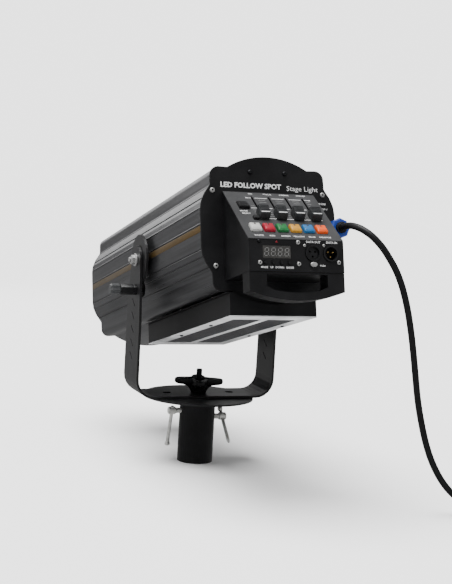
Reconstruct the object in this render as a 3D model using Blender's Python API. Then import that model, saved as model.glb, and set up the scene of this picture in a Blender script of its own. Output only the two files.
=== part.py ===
"""A yoke-mounted follow spot on a stand socket.

Frame: metres, +Z up, origin at the centre of the socket tube's lower end, the
beam pointing to +Y and the operator's console at -Y. The head is modelled in
its own axes, about the tilt pivot, and hangs nose down in the yoke at rest.
"""
import math

import bmesh
import bpy
from mathutils import Matrix, Vector

MM = 0.001
GAP = 0.4 * MM  # air left between pieces that touch

# --- stand socket and base
TUBE_R = 30.15 * MM
TUBE_WALL = 4.0 * MM
TUBE_LEN = 110 * MM
DISC_R = 93.7 * MM
DISC_T = 3 * MM
STUD_R = 4.8 * MM
STUD_TOP = 158.5 * MM
CLAMP = {
    "left": {"side": -1, "z": 87 * MM, "lean": -15},
    "right": {"side": 1, "z": 76 * MM, "lean": 47},
}

# --- yoke, bent from one strap
STRAP_T = 4 * MM
STRAP_Z = TUBE_LEN + DISC_T + 2 * GAP  # underside of the strap
YOKE_HALF = 122.3 * MM  # outer face of each arm
YOKE_BEND = 30 * MM
STRAP_HALF = 37 * MM
ARM_TOP_HALF = 24 * MM
PIVOT_Z = 341 * MM
TILT_KNOB = (-9 * MM, PIVOT_Z - 48.5 * MM)  # y and z of the lock on each arm

# --- head, in its own axes about the pivot
NOSE_DOWN = math.radians(14.56)
REAR_Y = -281.9 * MM
FRONT_Y = 336.8 * MM
PLATE_T = 3 * MM
SHELL_T = 2.2 * MM
ARC_R = 123 * MM
SIDE_X = 107 * MM
TOP_Z = 112 * MM
MID_Z = 2 * MM
BARREL_R = 78 * MM
BARREL_REAR = 190 * MM
BARREL_FRONT = FRONT_Y + 22 * MM
WHEEL_Z = -42 * MM

# --- operator's console, a wedge on the rear plate
CONSOLE_HALF = 73.4 * MM
SLOPE_TOP = 59.3 * MM
SLOPE_LOW = -29.3 * MM
CONSOLE_LOW = -76.2 * MM
CONSOLE_DEEP = 96.9 * MM
CONSOLE_T = 1.6 * MM
FACE_Y = REAR_Y - CONSOLE_DEEP
SLOPE_LEN = math.hypot(CONSOLE_DEEP, SLOPE_TOP - SLOPE_LOW)
SLOPE_ANGLE = math.atan2(SLOPE_TOP - SLOPE_LOW, CONSOLE_DEEP)

# --- driver box under the housing
BOX_HALF = 69.1 * MM
BOX_REAR = -287 * MM
BOX_FRONT = 109 * MM
BOX_TOP = -93.4 * MM
BOX_LOW = -129.2 * MM

# --- controls, given on the sloped panel as x and distance down from its top edge
FADER_X = [-31.9 * MM + 27.3 * MM * i for i in range(4)]
FADER_LOW = 70 * MM
BUTTON_X = [-54.6 * MM + 20.5 * MM * i for i in range(6)]
BUTTON_D = 105 * MM
BUTTON_SIDE = 16 * MM
BUTTON_NAMES = ["white", "red", "green", "yellow", "blue", "orange"]
MENU_X = [-49.5 * MM + 12.5 * MM * i for i in range(4)]
MENU_Z = -63.5 * MM
XLR_X = {"xlr_output": 25.0 * MM, "xlr_input": 53.0 * MM}
XLR_Z = -48.5 * MM
DISPLAY_BOX = (-52.6 * MM, -9.0 * MM, -57.5 * MM, -38.7 * MM)
ROCKER_AT = (-53.5 * MM, 42 * MM)
TAP_AT = (-44.3 * MM, 77 * MM)

# --- mains inlet on the rear plate, right of the console
INLET = Vector((90 * MM, REAR_Y, -2 * MM))
CONNECTOR_LEN = 66 * MM

# --- mains lead, world axes: straight from the connector, over and down, along the ground
CORD_R = 5 * MM
COIL_R = 57 * MM
COIL_CENTRE = Vector((0.4209, -0.3395, 0))
COIL_HIGH = 33 * MM
PLUG_AT = (COIL_CENTRE.x + COIL_R, COIL_CENTRE.y + 37 * MM, 18 * MM)
CORD_ROUTE = [
    (0.0920, -0.3579, 0.4296),
    (0.0989, -0.3772, 0.4268),
    (0.1106, -0.3914, 0.4172),
    (0.1245, -0.3971, 0.4029),
    (0.1379, -0.3967, 0.3869),
    (0.1500, -0.3965, 0.3698),
    (0.1597, -0.3965, 0.3513),
    (0.1674, -0.3965, 0.3318),
    (0.1738, -0.3965, 0.3119),
    (0.1791, -0.3965, 0.2917),
    (0.1838, -0.3965, 0.2713),
    (0.1879, -0.3965, 0.2508),
    (0.1917, -0.3965, 0.2302),
    (0.1954, -0.3965, 0.2096),
    (0.1991, -0.3965, 0.1890),
    (0.2035, -0.3965, 0.1686),
    (0.2089, -0.3965, 0.1484),
    (0.2149, -0.3965, 0.1283),
    (0.2218, -0.3965, 0.1086),
    (0.2302, -0.3965, 0.0894),
    (0.2404, -0.3965, 0.0711),
    (0.2524, -0.3965, 0.0541),
    (0.2666, -0.3965, 0.0387),
    (0.2830, -0.3965, 0.0257),
    (0.3014, -0.3965, 0.0159),
    (0.3214, -0.3965, 0.0098),
    (0.3421, -0.3965, 0.0066),
    (0.3630, -0.3965, 0.0055),
    (0.3839, -0.3965, 0.0053),
]

for old in list(bpy.data.objects):
    bpy.data.objects.remove(old, do_unlink=True)


# ---------------------------------------------------------------- materials
def finish(name, colour, roughness, metallic=0.0):
    made = bpy.data.materials.new(name)
    made.use_nodes = True
    shader = made.node_tree.nodes["Principled BSDF"]
    shader.inputs["Base Color"].default_value = (*colour, 1)
    shader.inputs["Roughness"].default_value = roughness
    shader.inputs["Metallic"].default_value = metallic
    return made


POWDER = finish("black_powder_coat", (0.012, 0.012, 0.013), 0.45)
ANODISED = finish("dark_anodised_aluminium", (0.09, 0.09, 0.095), 0.35, 0.8)
PANEL_GREY = finish("panel_grey", (0.09, 0.09, 0.095), 0.6)
PALE_GREY = finish("pale_grey_paint", (0.45, 0.45, 0.46), 0.5)
BRIGHT = finish("bright_steel", (0.6, 0.6, 0.6), 0.25, 1.0)
DARK_STEEL = finish("blackened_steel", (0.03, 0.03, 0.03), 0.4, 0.8)
ALUMINIUM = finish("bare_aluminium", (0.6, 0.6, 0.62), 0.35, 1.0)
BLACK_PLASTIC = finish("black_plastic", (0.015, 0.015, 0.015), 0.4)
GREY_PLASTIC = finish("grey_plastic", (0.12, 0.12, 0.12), 0.45)
BLUE_PLASTIC = finish("blue_plastic", (0.04, 0.10, 0.42), 0.4)
RUBBER = finish("black_rubber", (0.01, 0.01, 0.01), 0.6)
GLASS = finish("clear_glass", (0.9, 0.95, 0.95), 0.05)
DISPLAY_GREY = finish("display_grey", (0.18, 0.17, 0.16), 0.3)
BOARD = finish("led_board_yellow", (0.7, 0.6, 0.1), 0.4)
BUTTON_COLOURS = {
    "white": (0.8, 0.8, 0.8),
    "red": (0.5, 0.01, 0.04),
    "green": (0.01, 0.25, 0.07),
    "yellow": (0.75, 0.45, 0.06),
    "blue": (0.02, 0.15, 0.45),
    "orange": (0.85, 0.17, 0.02),
}


# ---------------------------------------------------------------- modelling helpers
def node(name, mesh, material, frame=None, place=(0, 0, 0), turn=(0, 0, 0)):
    """One sub-part as an object with its material, placed under a frame."""
    made = bpy.data.objects.new(name, mesh)
    bpy.context.scene.collection.objects.link(made)
    mesh.materials.clear()
    mesh.materials.append(material)
    made.parent = frame
    made.location = place
    made.rotation_euler = turn
    mesh.shade_smooth()
    mesh.set_sharp_from_angle(angle=math.radians(35))
    return made


def mesh_of(bm, name):
    bmesh.ops.remove_doubles(bm, verts=bm.verts, dist=1e-6)
    bmesh.ops.recalc_face_normals(bm, faces=bm.faces)
    mesh = bpy.data.meshes.new(name)
    bm.to_mesh(mesh)
    bm.free()
    return mesh


def prism(outline, low, high, axis="Y"):
    """A solid with this outline, extruded from low to high along an axis.

    The outline's points are the two other coordinates, in the order X, Y, Z.
    """
    bm = bmesh.new()
    slot = "XYZ".index(axis)

    def place(point, level):
        point = list(point)
        point.insert(slot, level)
        return point

    ends = [[bm.verts.new(place(p, level)) for p in outline] for level in (low, high)]
    bm.faces.new(ends[0])
    bm.faces.new(ends[1])
    for i in range(len(outline)):
        j = (i + 1) % len(outline)
        bm.faces.new((ends[0][i], ends[0][j], ends[1][j], ends[1][i]))
    return mesh_of(bm, "prism")


def block(low, high, bevel=0.0, segments=1):
    bm = bmesh.new()
    size = Vector(high) - Vector(low)
    centre = (Vector(high) + Vector(low)) / 2
    bmesh.ops.create_cube(bm, size=1, matrix=Matrix.Translation(centre) @ Matrix.Diagonal((*size, 1)))
    if bevel:
        bmesh.ops.bevel(
            bm, geom=bm.edges[:], offset=bevel, segments=segments, affect="EDGES", profile=0.5
        )
    return mesh_of(bm, "block")


def turned(profile, steps=32, shape=None):
    """A closed solid of revolution about Z. The profile is a loop of (radius, height).

    A shape function of the angle scales the radius, for lobed knobs. A radius
    of 0 marks a point on the axis.
    """
    bm = bmesh.new()
    rings = []
    for radius, height in profile:
        if radius == 0:
            rings.append([bm.verts.new((0, 0, height))])
            continue
        ring = []
        for i in range(steps):
            angle = 2 * math.pi * i / steps
            r = radius * (shape(angle, radius) if shape else 1)
            ring.append(bm.verts.new((r * math.cos(angle), r * math.sin(angle), height)))
        rings.append(ring)
    pairs = list(zip(rings, rings[1:] + rings[:1]))
    for one, two in pairs:
        if len(one) == 1 and len(two) == 1:
            continue
        for i in range(steps):
            j = (i + 1) % steps
            if len(one) == 1:
                bm.faces.new((one[0], two[j], two[i]))
            elif len(two) == 1:
                bm.faces.new((one[i], one[j], two[0]))
            else:
                bm.faces.new((one[i], one[j], two[j], two[i]))
    return mesh_of(bm, "turned")


def rod(radius, low, high, steps=16, chamfer=0.0):
    c = chamfer
    if not c:
        return turned([(0, high), (radius, high), (radius, low), (0, low)], steps)
    return turned(
        [(0, high), (radius - c, high), (radius, high - c), (radius, low + c), (radius - c, low), (0, low)],
        steps,
    )


def ring_of(outer, inner, low, high, steps=32):
    return turned([(outer, high), (outer, low), (inner, low), (inner, high)], steps)


def along(axis):
    """The turn that points a solid's own Z along a world axis."""
    return {
        "X": (0, math.pi / 2, 0),
        "-X": (0, -math.pi / 2, 0),
        "Y": (-math.pi / 2, 0, 0),
        "-Y": (math.pi / 2, 0, 0),
        "Z": (0, 0, 0),
    }[axis]


def cut(target, cutters, operation="DIFFERENCE"):
    """Boolean each cutter mesh, given as (mesh, place, turn), from the target."""
    for number, (mesh, place, turn) in enumerate(cutters):
        cutter = bpy.data.objects.new(f"{target.name}_cutter_{number}", mesh)
        bpy.context.scene.collection.objects.link(cutter)
        cutter.parent = target
        cutter.location = place
        cutter.rotation_euler = turn
        cutter.hide_render = True
        cutter.display_type = "WIRE"
        modifier = target.modifiers.new(f"cut_{number}", "BOOLEAN")
        modifier.operation = operation
        modifier.object = cutter
        modifier.solver = "EXACT"
    return target


def arc(centre, radius, start, end, steps):
    """Points on an arc, angles in degrees."""
    made = []
    for i in range(steps + 1):
        angle = math.radians(start + (end - start) * i / steps)
        made.append((centre[0] + radius * math.cos(angle), centre[1] + radius * math.sin(angle)))
    return made


def frame_empty(name, place, turn, parent=None):
    made = bpy.data.objects.new(name, None)
    bpy.context.scene.collection.objects.link(made)
    made.parent = parent
    made.location = place
    made.rotation_euler = turn
    return made


# ---------------------------------------------------------------- shared outlines
def housing_outline(grow=0.0, lobe_steps=5, arc_steps=8):
    """The head's section: four shallow arcs with a round lobe at each corner."""
    lobe_r = 12.5 * MM + grow
    lobe = (78 * MM, TOP_Z - 30 * MM - MID_Z)
    side_flat = 29 * MM
    top = []
    arc_centre = TOP_Z - MID_Z - ARC_R
    for i in range(arc_steps + 1):
        x = 64.5 * MM * i / arc_steps
        top.append((x, arc_centre + math.sqrt((ARC_R + grow) ** 2 - x * x)))
    corner = arc(lobe, lobe_r, 92, -2, lobe_steps)
    side = [
        (SIDE_X - 16.0 * MM + grow, 65.5 * MM),
        (SIDE_X - 7.0 * MM + grow, 52.5 * MM),
        (SIDE_X - 1.6 * MM + grow, 40.0 * MM),
        (SIDE_X + grow, side_flat),
    ]
    quarter = top + corner + side
    lower = [(x, -z) for x, z in reversed(quarter)]
    right = quarter + lower
    left = [(-x, z) for x, z in reversed(right)]
    whole = right + left[1:-1]
    return [(x, z + MID_Z) for x, z in whole]


def half_shell(upper):
    """One half of the housing extrusion, an open trough of even wall."""
    outer = housing_outline()
    inner = housing_outline(-SHELL_T)
    seam = MID_Z + (GAP / 2 if upper else -GAP / 2)

    def side_of(points):
        kept = [p for p in points if (p[1] > seam) == upper]
        kept.sort(key=lambda p: math.atan2(p[1] - MID_Z, p[0]))
        return kept

    outside = side_of(outer)
    inside = side_of(inner)
    if not upper:
        outside.reverse()
        inside.reverse()
    start, end = (SIDE_X, seam), (-SIDE_X, seam)
    start_in, end_in = (SIDE_X - SHELL_T, seam), (-SIDE_X + SHELL_T, seam)
    loop = [start] + outside + [end, end_in] + inside[::-1] + [start_in]
    return prism(loop, REAR_Y + PLATE_T + GAP, FRONT_Y - PLATE_T - GAP)


# ---------------------------------------------------------------- stand socket
def make_base():
    inner = TUBE_R - TUBE_WALL
    tube = node("socket_tube", ring_of(TUBE_R, inner, 0, TUBE_LEN, 40), POWDER)
    screw_hole = rod(5.2 * MM, 0, TUBE_R + 5 * MM, 16)
    cut(
        tube,
        [
            (screw_hole, (0, 0, CLAMP["left"]["z"]), along("-X")),
            (screw_hole, (0, 0, CLAMP["right"]["z"]), along("X")),
        ],
    )
    node(
        "base_disc",
        ring_of(DISC_R, STUD_R + GAP, TUBE_LEN + GAP, TUBE_LEN + GAP + DISC_T, 48),
        POWDER,
    )
    node("centre_stud", rod(STUD_R, 92 * MM, STUD_TOP, 16, 0.6 * MM), DARK_STEEL)


def make_clamp_screws():
    """Tommy-bar screws that pinch the stand tube. The bar slides in the head."""
    for side, facts in CLAMP.items():
        frame = frame_empty(
            f"clamp_{side}_frame",
            (0, 0, facts["z"]),
            (math.radians(facts["lean"]) * (-1), 0, 0),
        )
        inner = TUBE_R - TUBE_WALL - 2 * MM
        shank_end = 39 * MM
        head_end = 52 * MM
        profile = [
            (0, head_end),
            (5.5 * MM, head_end),
            (6.5 * MM, head_end - 1.2 * MM),
            (6.5 * MM, shank_end + 1.2 * MM),
            (5.2 * MM, shank_end),
            (4.6 * MM, shank_end - 1 * MM),
            (4.6 * MM, inner),
            (0, inner),
        ]
        screw = node(
            f"clamp_screw_{side}",
            turned(profile, 20),
            BRIGHT,
            frame,
            turn=along("X" if facts["side"] > 0 else "-X"),
        )
        middle = (shank_end + head_end) / 2
        eye = rod(3.4 * MM, -12 * MM, 12 * MM, 14)
        cut(screw, [(eye, (0, 0, middle), (0, math.pi / 2, 0))])
        hanging = [(0, 8), (2.6, 8), (2.9, 7.4), (2.9, -58), (4.4, -60), (4.4, -64), (3.6, -65), (0, -65)]
        caught = [(0, 18), (3.6, 18), (4.4, 17), (4.4, 13), (2.9, 11), (2.9, -50), (1.7, -55), (0, -56)]
        bar = [(r * MM, h * MM) for r, h in (hanging if side == "left" else caught)]
        node(
            f"tommy_bar_{side}",
            turned(bar, 14),
            BRIGHT,
            frame,
            place=(facts["side"] * middle, 0, 0),
        )


# ---------------------------------------------------------------- yoke
def strap_mesh():
    """A flat strap bent to a U, wide at the base and tapering up each arm."""
    low = STRAP_Z + STRAP_T / 2
    half = YOKE_HALF - STRAP_T / 2
    centre = []
    bend = arc((half - YOKE_BEND, low + YOKE_BEND), YOKE_BEND, -90, 0, 6)
    centre += [(x, z, STRAP_HALF) for x, z in [(0, low)] + bend]
    taper_from = STRAP_Z + 128 * MM
    centre.append((half, taper_from, STRAP_HALF - 1 * MM))
    centre.append((half, PIVOT_Z, ARM_TOP_HALF))
    for i in range(1, 7):
        angle = math.radians(13 * i)
        centre.append((half, PIVOT_Z + ARM_TOP_HALF * math.sin(angle), ARM_TOP_HALF * math.cos(angle)))
    mirrored = [(-x, z, w) for x, z, w in reversed(centre[1:])]
    line = mirrored + centre
    bm = bmesh.new()
    rings = []
    for i, (x, z, width) in enumerate(line):
        before = line[max(i - 1, 0)]
        after = line[min(i + 1, len(line) - 1)]
        run = Vector((after[0] - before[0], after[1] - before[1]))
        normal = Vector((-run.y, run.x)).normalized() * STRAP_T / 2
        corners = [
            (x + normal.x, -width, z + normal.y),
            (x + normal.x, width, z + normal.y),
            (x - normal.x, width, z - normal.y),
            (x - normal.x, -width, z - normal.y),
        ]
        rings.append([bm.verts.new(c) for c in corners])
    for one, two in zip(rings, rings[1:]):
        for i in range(4):
            j = (i + 1) % 4
            bm.faces.new((one[i], one[j], two[j], two[i]))
    bm.faces.new(rings[0])
    bm.faces.new(rings[-1])
    return mesh_of(bm, "strap")


def make_yoke():
    yoke = node("yoke", strap_mesh(), POWDER)
    through = rod(5.6 * MM, -150 * MM, 150 * MM, 20)
    knob_hole = rod(4.6 * MM, -150 * MM, 150 * MM, 16)
    down = rod(STUD_R + GAP, 0, 30 * MM, 16)
    fixing = rod(7.4 * MM, 0, 30 * MM, 20)
    base = STRAP_Z - 10 * MM
    cutters = [
        (through, (0, 0, PIVOT_Z), along("X")),
        (knob_hole, (0, TILT_KNOB[0], TILT_KNOB[1]), along("X")),
        (down, (0, 0, base), (0, 0, 0)),
        (fixing, (-56 * MM, 0, base), (0, 0, 0)),
        (fixing, (56 * MM, 0, base), (0, 0, 0)),
    ]
    slot = block((-150 * MM, -9 * MM, -1.1 * MM), (150 * MM, 9 * MM, 1.1 * MM))
    for i in range(5):
        height = STRAP_Z + (65 + 22.3 * i) * MM + 2 * MM
        cutters.append((slot, (0, 1 * MM, height), (math.radians(36), 0, 0)))
    cut(yoke, cutters)


def make_star_knob():
    """Four-lobed hand knob on the stud that locks the pan."""

    def lobes(angle, radius):
        if radius < 20 * MM:
            return 1.0
        swing = math.cos(4 * (angle + math.radians(15)))
        return 0.68 + 0.32 * swing if swing > 0 else 0.68 + 0.13 * swing

    low = STRAP_Z + STRAP_T + GAP
    profile = [
        (17 * MM, low + 22 * MM),
        (30 * MM, low + 24.5 * MM),
        (38.5 * MM, low + 24.5 * MM),
        (42 * MM, low + 21.5 * MM),
        (42 * MM, low + 17.5 * MM),
        (38.5 * MM, low + 14.8 * MM),
        (24 * MM, low + 14 * MM),
        (16.5 * MM, low + 12 * MM),
        (11.6 * MM, low + 4.5 * MM),
        (13 * MM, low),
        (STUD_R + GAP, low),
        (STUD_R + GAP, low + 19 * MM),
    ]
    node("pan_star_knob", turned(profile, 32, lobes), BLACK_PLASTIC)


def make_pivots():
    for side, sign in (("left", -1), ("right", 1)):
        turn = along("X" if sign > 0 else "-X")
        outer = YOKE_HALF
        bolt = [
            (0, outer + 9 * MM),
            (6.2 * MM, outer + 9 * MM),
            (7.4 * MM, outer + 8 * MM),
            (7.4 * MM, outer + 2.6 * MM),
            (10.5 * MM, outer + 2.4 * MM),
            (10.5 * MM, outer + GAP),
            (5 * MM, outer + GAP),
            (5 * MM, outer - 14.5 * MM),
            (0, outer - 14.5 * MM),
        ]
        node(f"pivot_bolt_{side}", turned(bolt, 18), BRIGHT, place=(0, 0, PIVOT_Z), turn=turn)
        knob = [
            (0, outer + 45 * MM),
            (7.5 * MM, outer + 45 * MM),
            (9.4 * MM, outer + 43 * MM),
            (9.4 * MM, outer + 28 * MM),
            (8.8 * MM, outer + 26.5 * MM),
            (8.8 * MM, outer + GAP),
            (4 * MM, outer + GAP),
            (4 * MM, outer - 10.8 * MM),
            (12 * MM, outer - 10.8 * MM),
            (12 * MM, outer - 12.4 * MM),
            (0, outer - 12.4 * MM),
        ]
        node(
            f"tilt_lock_knob_{side}",
            turned(knob, 16),
            BLACK_PLASTIC,
            place=(0, TILT_KNOB[0], TILT_KNOB[1]),
            turn=turn,
        )


# ---------------------------------------------------------------- head
def make_housing(head):
    slot = block(
        (-7 * MM, -150 * MM, 80 * MM),
        (7 * MM, -40 * MM, 140 * MM),
    )
    upper = node("upper_shell", half_shell(True), ANODISED, head)
    lower = node("lower_shell", half_shell(False), ANODISED, head)
    bolt_hole = rod(6.4 * MM, 95 * MM, 120 * MM, 18)
    holes = [(bolt_hole, (0, 0, 0), along("X")), (bolt_hole, (0, 0, 0), along("-X"))]
    cut(upper, holes)
    cut(lower, holes + [(slot, (0, 0, -210 * MM), (0, 0, 0))])
    plate = housing_outline(1.5 * MM)
    rear = node("rear_plate", prism(plate, REAR_Y, REAR_Y + PLATE_T), POWDER, head)
    window = block((-50 * MM, REAR_Y - 9 * MM, -60 * MM), (50 * MM, REAR_Y + 9 * MM, 40 * MM))
    inlet_hole = rod(13.2 * MM, -8 * MM, 8 * MM, 28)
    cut(rear, [(window, (0, 0, 0), (0, 0, 0)), (inlet_hole, INLET, along("Y"))])
    front = node("front_plate", prism(plate, FRONT_Y - PLATE_T, FRONT_Y), POWDER, head)
    cut(front, [(rod(BARREL_R + 0.8 * MM, -20 * MM, 20 * MM, 48), (0, FRONT_Y, 0), along("Y"))])
    for side, sign in (("left", -1), ("right", 1)):
        profile = [
            (42 * MM, 117.6 * MM),
            (42 * MM, 113.6 * MM),
            (16 * MM, 113.6 * MM),
            (16 * MM, SIDE_X + GAP),
            (5.6 * MM, SIDE_X + GAP),
            (5.6 * MM, 117.6 * MM),
        ]
        node(
            f"pivot_disc_{side}",
            turned(profile, 40),
            POWDER,
            head,
            turn=along("X" if sign > 0 else "-X"),
        )


def make_lens_barrel(head):
    profile = [
        (BARREL_R, 0),
        (BARREL_R, BARREL_REAR - BARREL_FRONT),
        (BARREL_R - 2 * MM, BARREL_REAR - BARREL_FRONT),
        (BARREL_R - 2 * MM, -6 * MM),
        (BARREL_R - 6 * MM, -6 * MM),
        (BARREL_R - 6 * MM, 0),
    ]
    node("lens_barrel", turned(profile, 40), POWDER, head, (0, BARREL_FRONT, 0), along("Y"))
    lens = []
    radius, bulge = BARREL_R - 2.6 * MM, 16 * MM
    for i in range(5):
        share = i / 4
        lens.append((radius * share, bulge * (1 - share * share)))
    lens += [(radius, -3 * MM), (0, -3 * MM)]
    place = (0, BARREL_FRONT - 24 * MM, 0)
    node("front_lens", turned(lens, 32), GLASS, head, place, along("Y"))


def make_optics(head):
    """Light engine, colour wheel and iris, in line inside the housing."""
    sink = node(
        "heat_sink",
        block((-70 * MM, -245 * MM, -65 * MM), (70 * MM, -150 * MM, 65 * MM)),
        ALUMINIUM,
        head,
    )
    groove = block((-3.2 * MM, -260 * MM, -80 * MM), (3.2 * MM, -160 * MM, 80 * MM))
    cut(sink, [(groove, ((-58.5 + 13 * i) * MM, 0, 0), (0, 0, 0)) for i in range(10)])
    collimator = [(30 * MM * math.sin(math.radians(15 * i)), (30 * math.cos(math.radians(15 * i)) - 150) * MM)
                  for i in range(6)]
    engine = collimator + [(34 * MM, -142 * MM), (34 * MM, -149.5 * MM), (0, -149.5 * MM)]
    node("led_module", turned(engine, 32), BOARD, head, turn=along("Y"))
    lens = [(45 * MM * i / 4, (14 * (1 - (i / 4) ** 2) - 88) * MM) for i in range(5)]
    lens += [(45 * MM, -94 * MM), (0, -94 * MM)]
    node("condenser_lens", turned(lens, 28), GLASS, head, turn=along("Y"))
    fan = node(
        "fan_frame",
        block((-40 * MM, -270.5 * MM, -40 * MM), (40 * MM, -246 * MM, 40 * MM)),
        BLACK_PLASTIC,
        head,
    )
    hollow = [
        (37 * MM, -240 * MM),
        (37 * MM, -266 * MM),
        (33 * MM, -266 * MM),
        (33 * MM, -280 * MM),
        (14 * MM, -280 * MM),
        (14 * MM, -264 * MM),
        (5 * MM, -264 * MM),
        (5 * MM, -240 * MM),
    ]
    strut = block((-40 * MM, -270.5 * MM, -2.5 * MM), (40 * MM, -266.5 * MM, 2.5 * MM))
    cut(fan, [(turned(hollow, 32), (0, 0, 0), along("Y"))])
    cut(fan, [(strut, (0, 0, 0), (0, 0, 0))], "UNION")
    rotor = node("fan_rotor", ring_of(15 * MM, 5.6 * MM, -262 * MM, -249 * MM, 24), BLACK_PLASTIC, head)
    rotor.rotation_euler = along("Y")
    blade = block((0, -1 * MM, -261 * MM), (35.5 * MM, 1 * MM, -250 * MM))
    blades = []
    for i in range(7):
        blades.append((blade, (0, 0, 0), (0, 0, 2 * math.pi * i / 7)))
    shaft_hole = ring_of(60 * MM, 5.6 * MM, -290 * MM, -230 * MM, 24)
    cut(rotor, blades, "UNION")
    cut(rotor, [(shaft_hole, (0, 0, 0), (0, 0, 0))], "INTERSECT")
    wheel = node(
        "colour_wheel",
        ring_of(62 * MM, 4 * MM, -61 * MM, -59.5 * MM, 32),
        ALUMINIUM,
        head,
        (0, 0, WHEEL_Z),
        along("Y"),
    )
    window = rod(15 * MM, -70 * MM, -50 * MM, 14)
    spots = []
    for i in range(7):
        turn = 2 * math.pi * (i + 0.5) / 7
        spots.append((window, (42 * MM * math.cos(turn), 42 * MM * math.sin(turn), 0), (0, 0, 0)))
    cut(wheel, spots)
    motor = rod(3.4 * MM, -70 * MM, -45 * MM, 16)
    body = node(
        "wheel_motor",
        block((-17 * MM, -51 * MM, WHEEL_Z - 17 * MM), (17 * MM, -18 * MM, WHEEL_Z + 17 * MM), 2 * MM),
        DARK_STEEL,
        head,
    )
    cut(body, [(motor, (0, 0, WHEEL_Z), along("Y"))], "UNION")
    iris = [(46 * MM, 10 * MM), (46 * MM, 2 * MM), (22 * MM, 2 * MM), (22 * MM, 10 * MM)]
    node("iris_ring", turned(iris, 40), DARK_STEEL, head, turn=along("Y"))


def make_driver_box(head):
    """Folded box under the housing with a pale vented cover, and the supply inside."""
    wall = 1.5 * MM
    box = node(
        "driver_box",
        block((-BOX_HALF, BOX_REAR, BOX_LOW + 2 * MM), (BOX_HALF, BOX_FRONT, BOX_TOP)),
        POWDER,
        head,
    )
    inner = block(
        (-BOX_HALF + wall, BOX_REAR + wall, BOX_LOW - 10 * MM),
        (BOX_HALF - wall, BOX_FRONT - wall, BOX_TOP + 10 * MM),
    )
    clear = prism(housing_outline(2.2 * MM, 4, 6), REAR_Y - 20 * MM, FRONT_Y)
    cut(box, [(inner, (0, 0, 0), (0, 0, 0)), (clear, (0, 0, 0), (0, 0, 0))])
    cover = node(
        "driver_box_cover",
        block((-BOX_HALF, BOX_REAR, BOX_LOW), (BOX_HALF, BOX_FRONT, BOX_LOW + 2 * MM - GAP)),
        PALE_GREY,
        head,
    )
    vent = block(
        (-23 * MM, -163 * MM, BOX_LOW - 5 * MM),
        (23 * MM, 163 * MM, BOX_LOW + 5 * MM),
    )
    middle = (BOX_REAR + BOX_FRONT) / 2
    cut(cover, [(vent, (sign * 28 * MM, middle, 0), (0, 0, 0)) for sign in (-1, 1)])
    node(
        "power_supply",
        block((-48 * MM, -150 * MM, -123.5 * MM), (48 * MM, 70 * MM, -113 * MM), 1 * MM),
        ALUMINIUM,
        head,
    )


# ---------------------------------------------------------------- console
def make_console(head, panel):
    t = CONSOLE_T
    top, low, deep = SLOPE_TOP, CONSOLE_LOW, FACE_Y
    back = REAR_Y - GAP
    lift = t / math.cos(SLOPE_ANGLE)
    outline = [(back, low), (back, top - lift), (deep, SLOPE_LOW - lift), (deep, low)]
    body = node(
        "console_body", prism(outline, -CONSOLE_HALF, CONSOLE_HALF, "X"), POWDER, head
    )
    hollow = [
        (back + 5 * MM, low + t),
        (back + 5 * MM, top + 9 * MM),
        (deep + t, SLOPE_LOW - lift + t * math.tan(SLOPE_ANGLE) + 3 * MM),
        (deep + t, low + t),
    ]
    face_cut = []
    for centre in XLR_X.values():
        face_cut.append((rod(12.2 * MM, -8 * MM, 8 * MM, 28), (centre, deep, XLR_Z), along("Y")))
    x0, x1, z0, z1 = DISPLAY_BOX
    face_cut.append((block((x0, deep - 5 * MM, z0), (x1, deep + 5 * MM, z1)), (0, 0, 0), (0, 0, 0)))
    for x in MENU_X:
        face_cut.append((rod(2.9 * MM, -5 * MM, 5 * MM, 14), (x, deep, MENU_Z), along("Y")))
    cut(
        body,
        [(prism(hollow, -CONSOLE_HALF + t, CONSOLE_HALF - t, "X"), (0, 0, 0), (0, 0, 0))] + face_cut,
    )
    plate = node(
        "console_panel",
        block(
            (-CONSOLE_HALF, -SLOPE_LEN, -t + GAP),
            (CONSOLE_HALF, -2.4 * MM, 0),
        ),
        PANEL_GREY,
        panel,
    )
    holes = []
    for x in FADER_X:
        slot = block((x - 1.6 * MM, -79 * MM, -5 * MM), (x + 1.6 * MM, -14.3 * MM, 5 * MM))
        holes.append((slot, (0, 0, 0), (0, 0, 0)))
    side = BUTTON_SIDE / 2 + 0.5 * MM
    for x in BUTTON_X:
        well = block((x - side, -BUTTON_D - side, -5 * MM), (x + side, -BUTTON_D + side, 5 * MM))
        holes.append((well, (0, 0, 0), (0, 0, 0)))
    rocker = block((-8.5 * MM, -10 * MM, -5 * MM), (8.5 * MM, 10 * MM, 5 * MM))
    tap = block((-4.5 * MM, -4.5 * MM, -5 * MM), (4.5 * MM, 4.5 * MM, 5 * MM))
    holes.append((rocker, (ROCKER_AT[0], -ROCKER_AT[1], 0), (0, 0, 0)))
    holes.append((tap, (TAP_AT[0], -TAP_AT[1], 0), (0, 0, 0)))
    cut(plate, holes)


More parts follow.
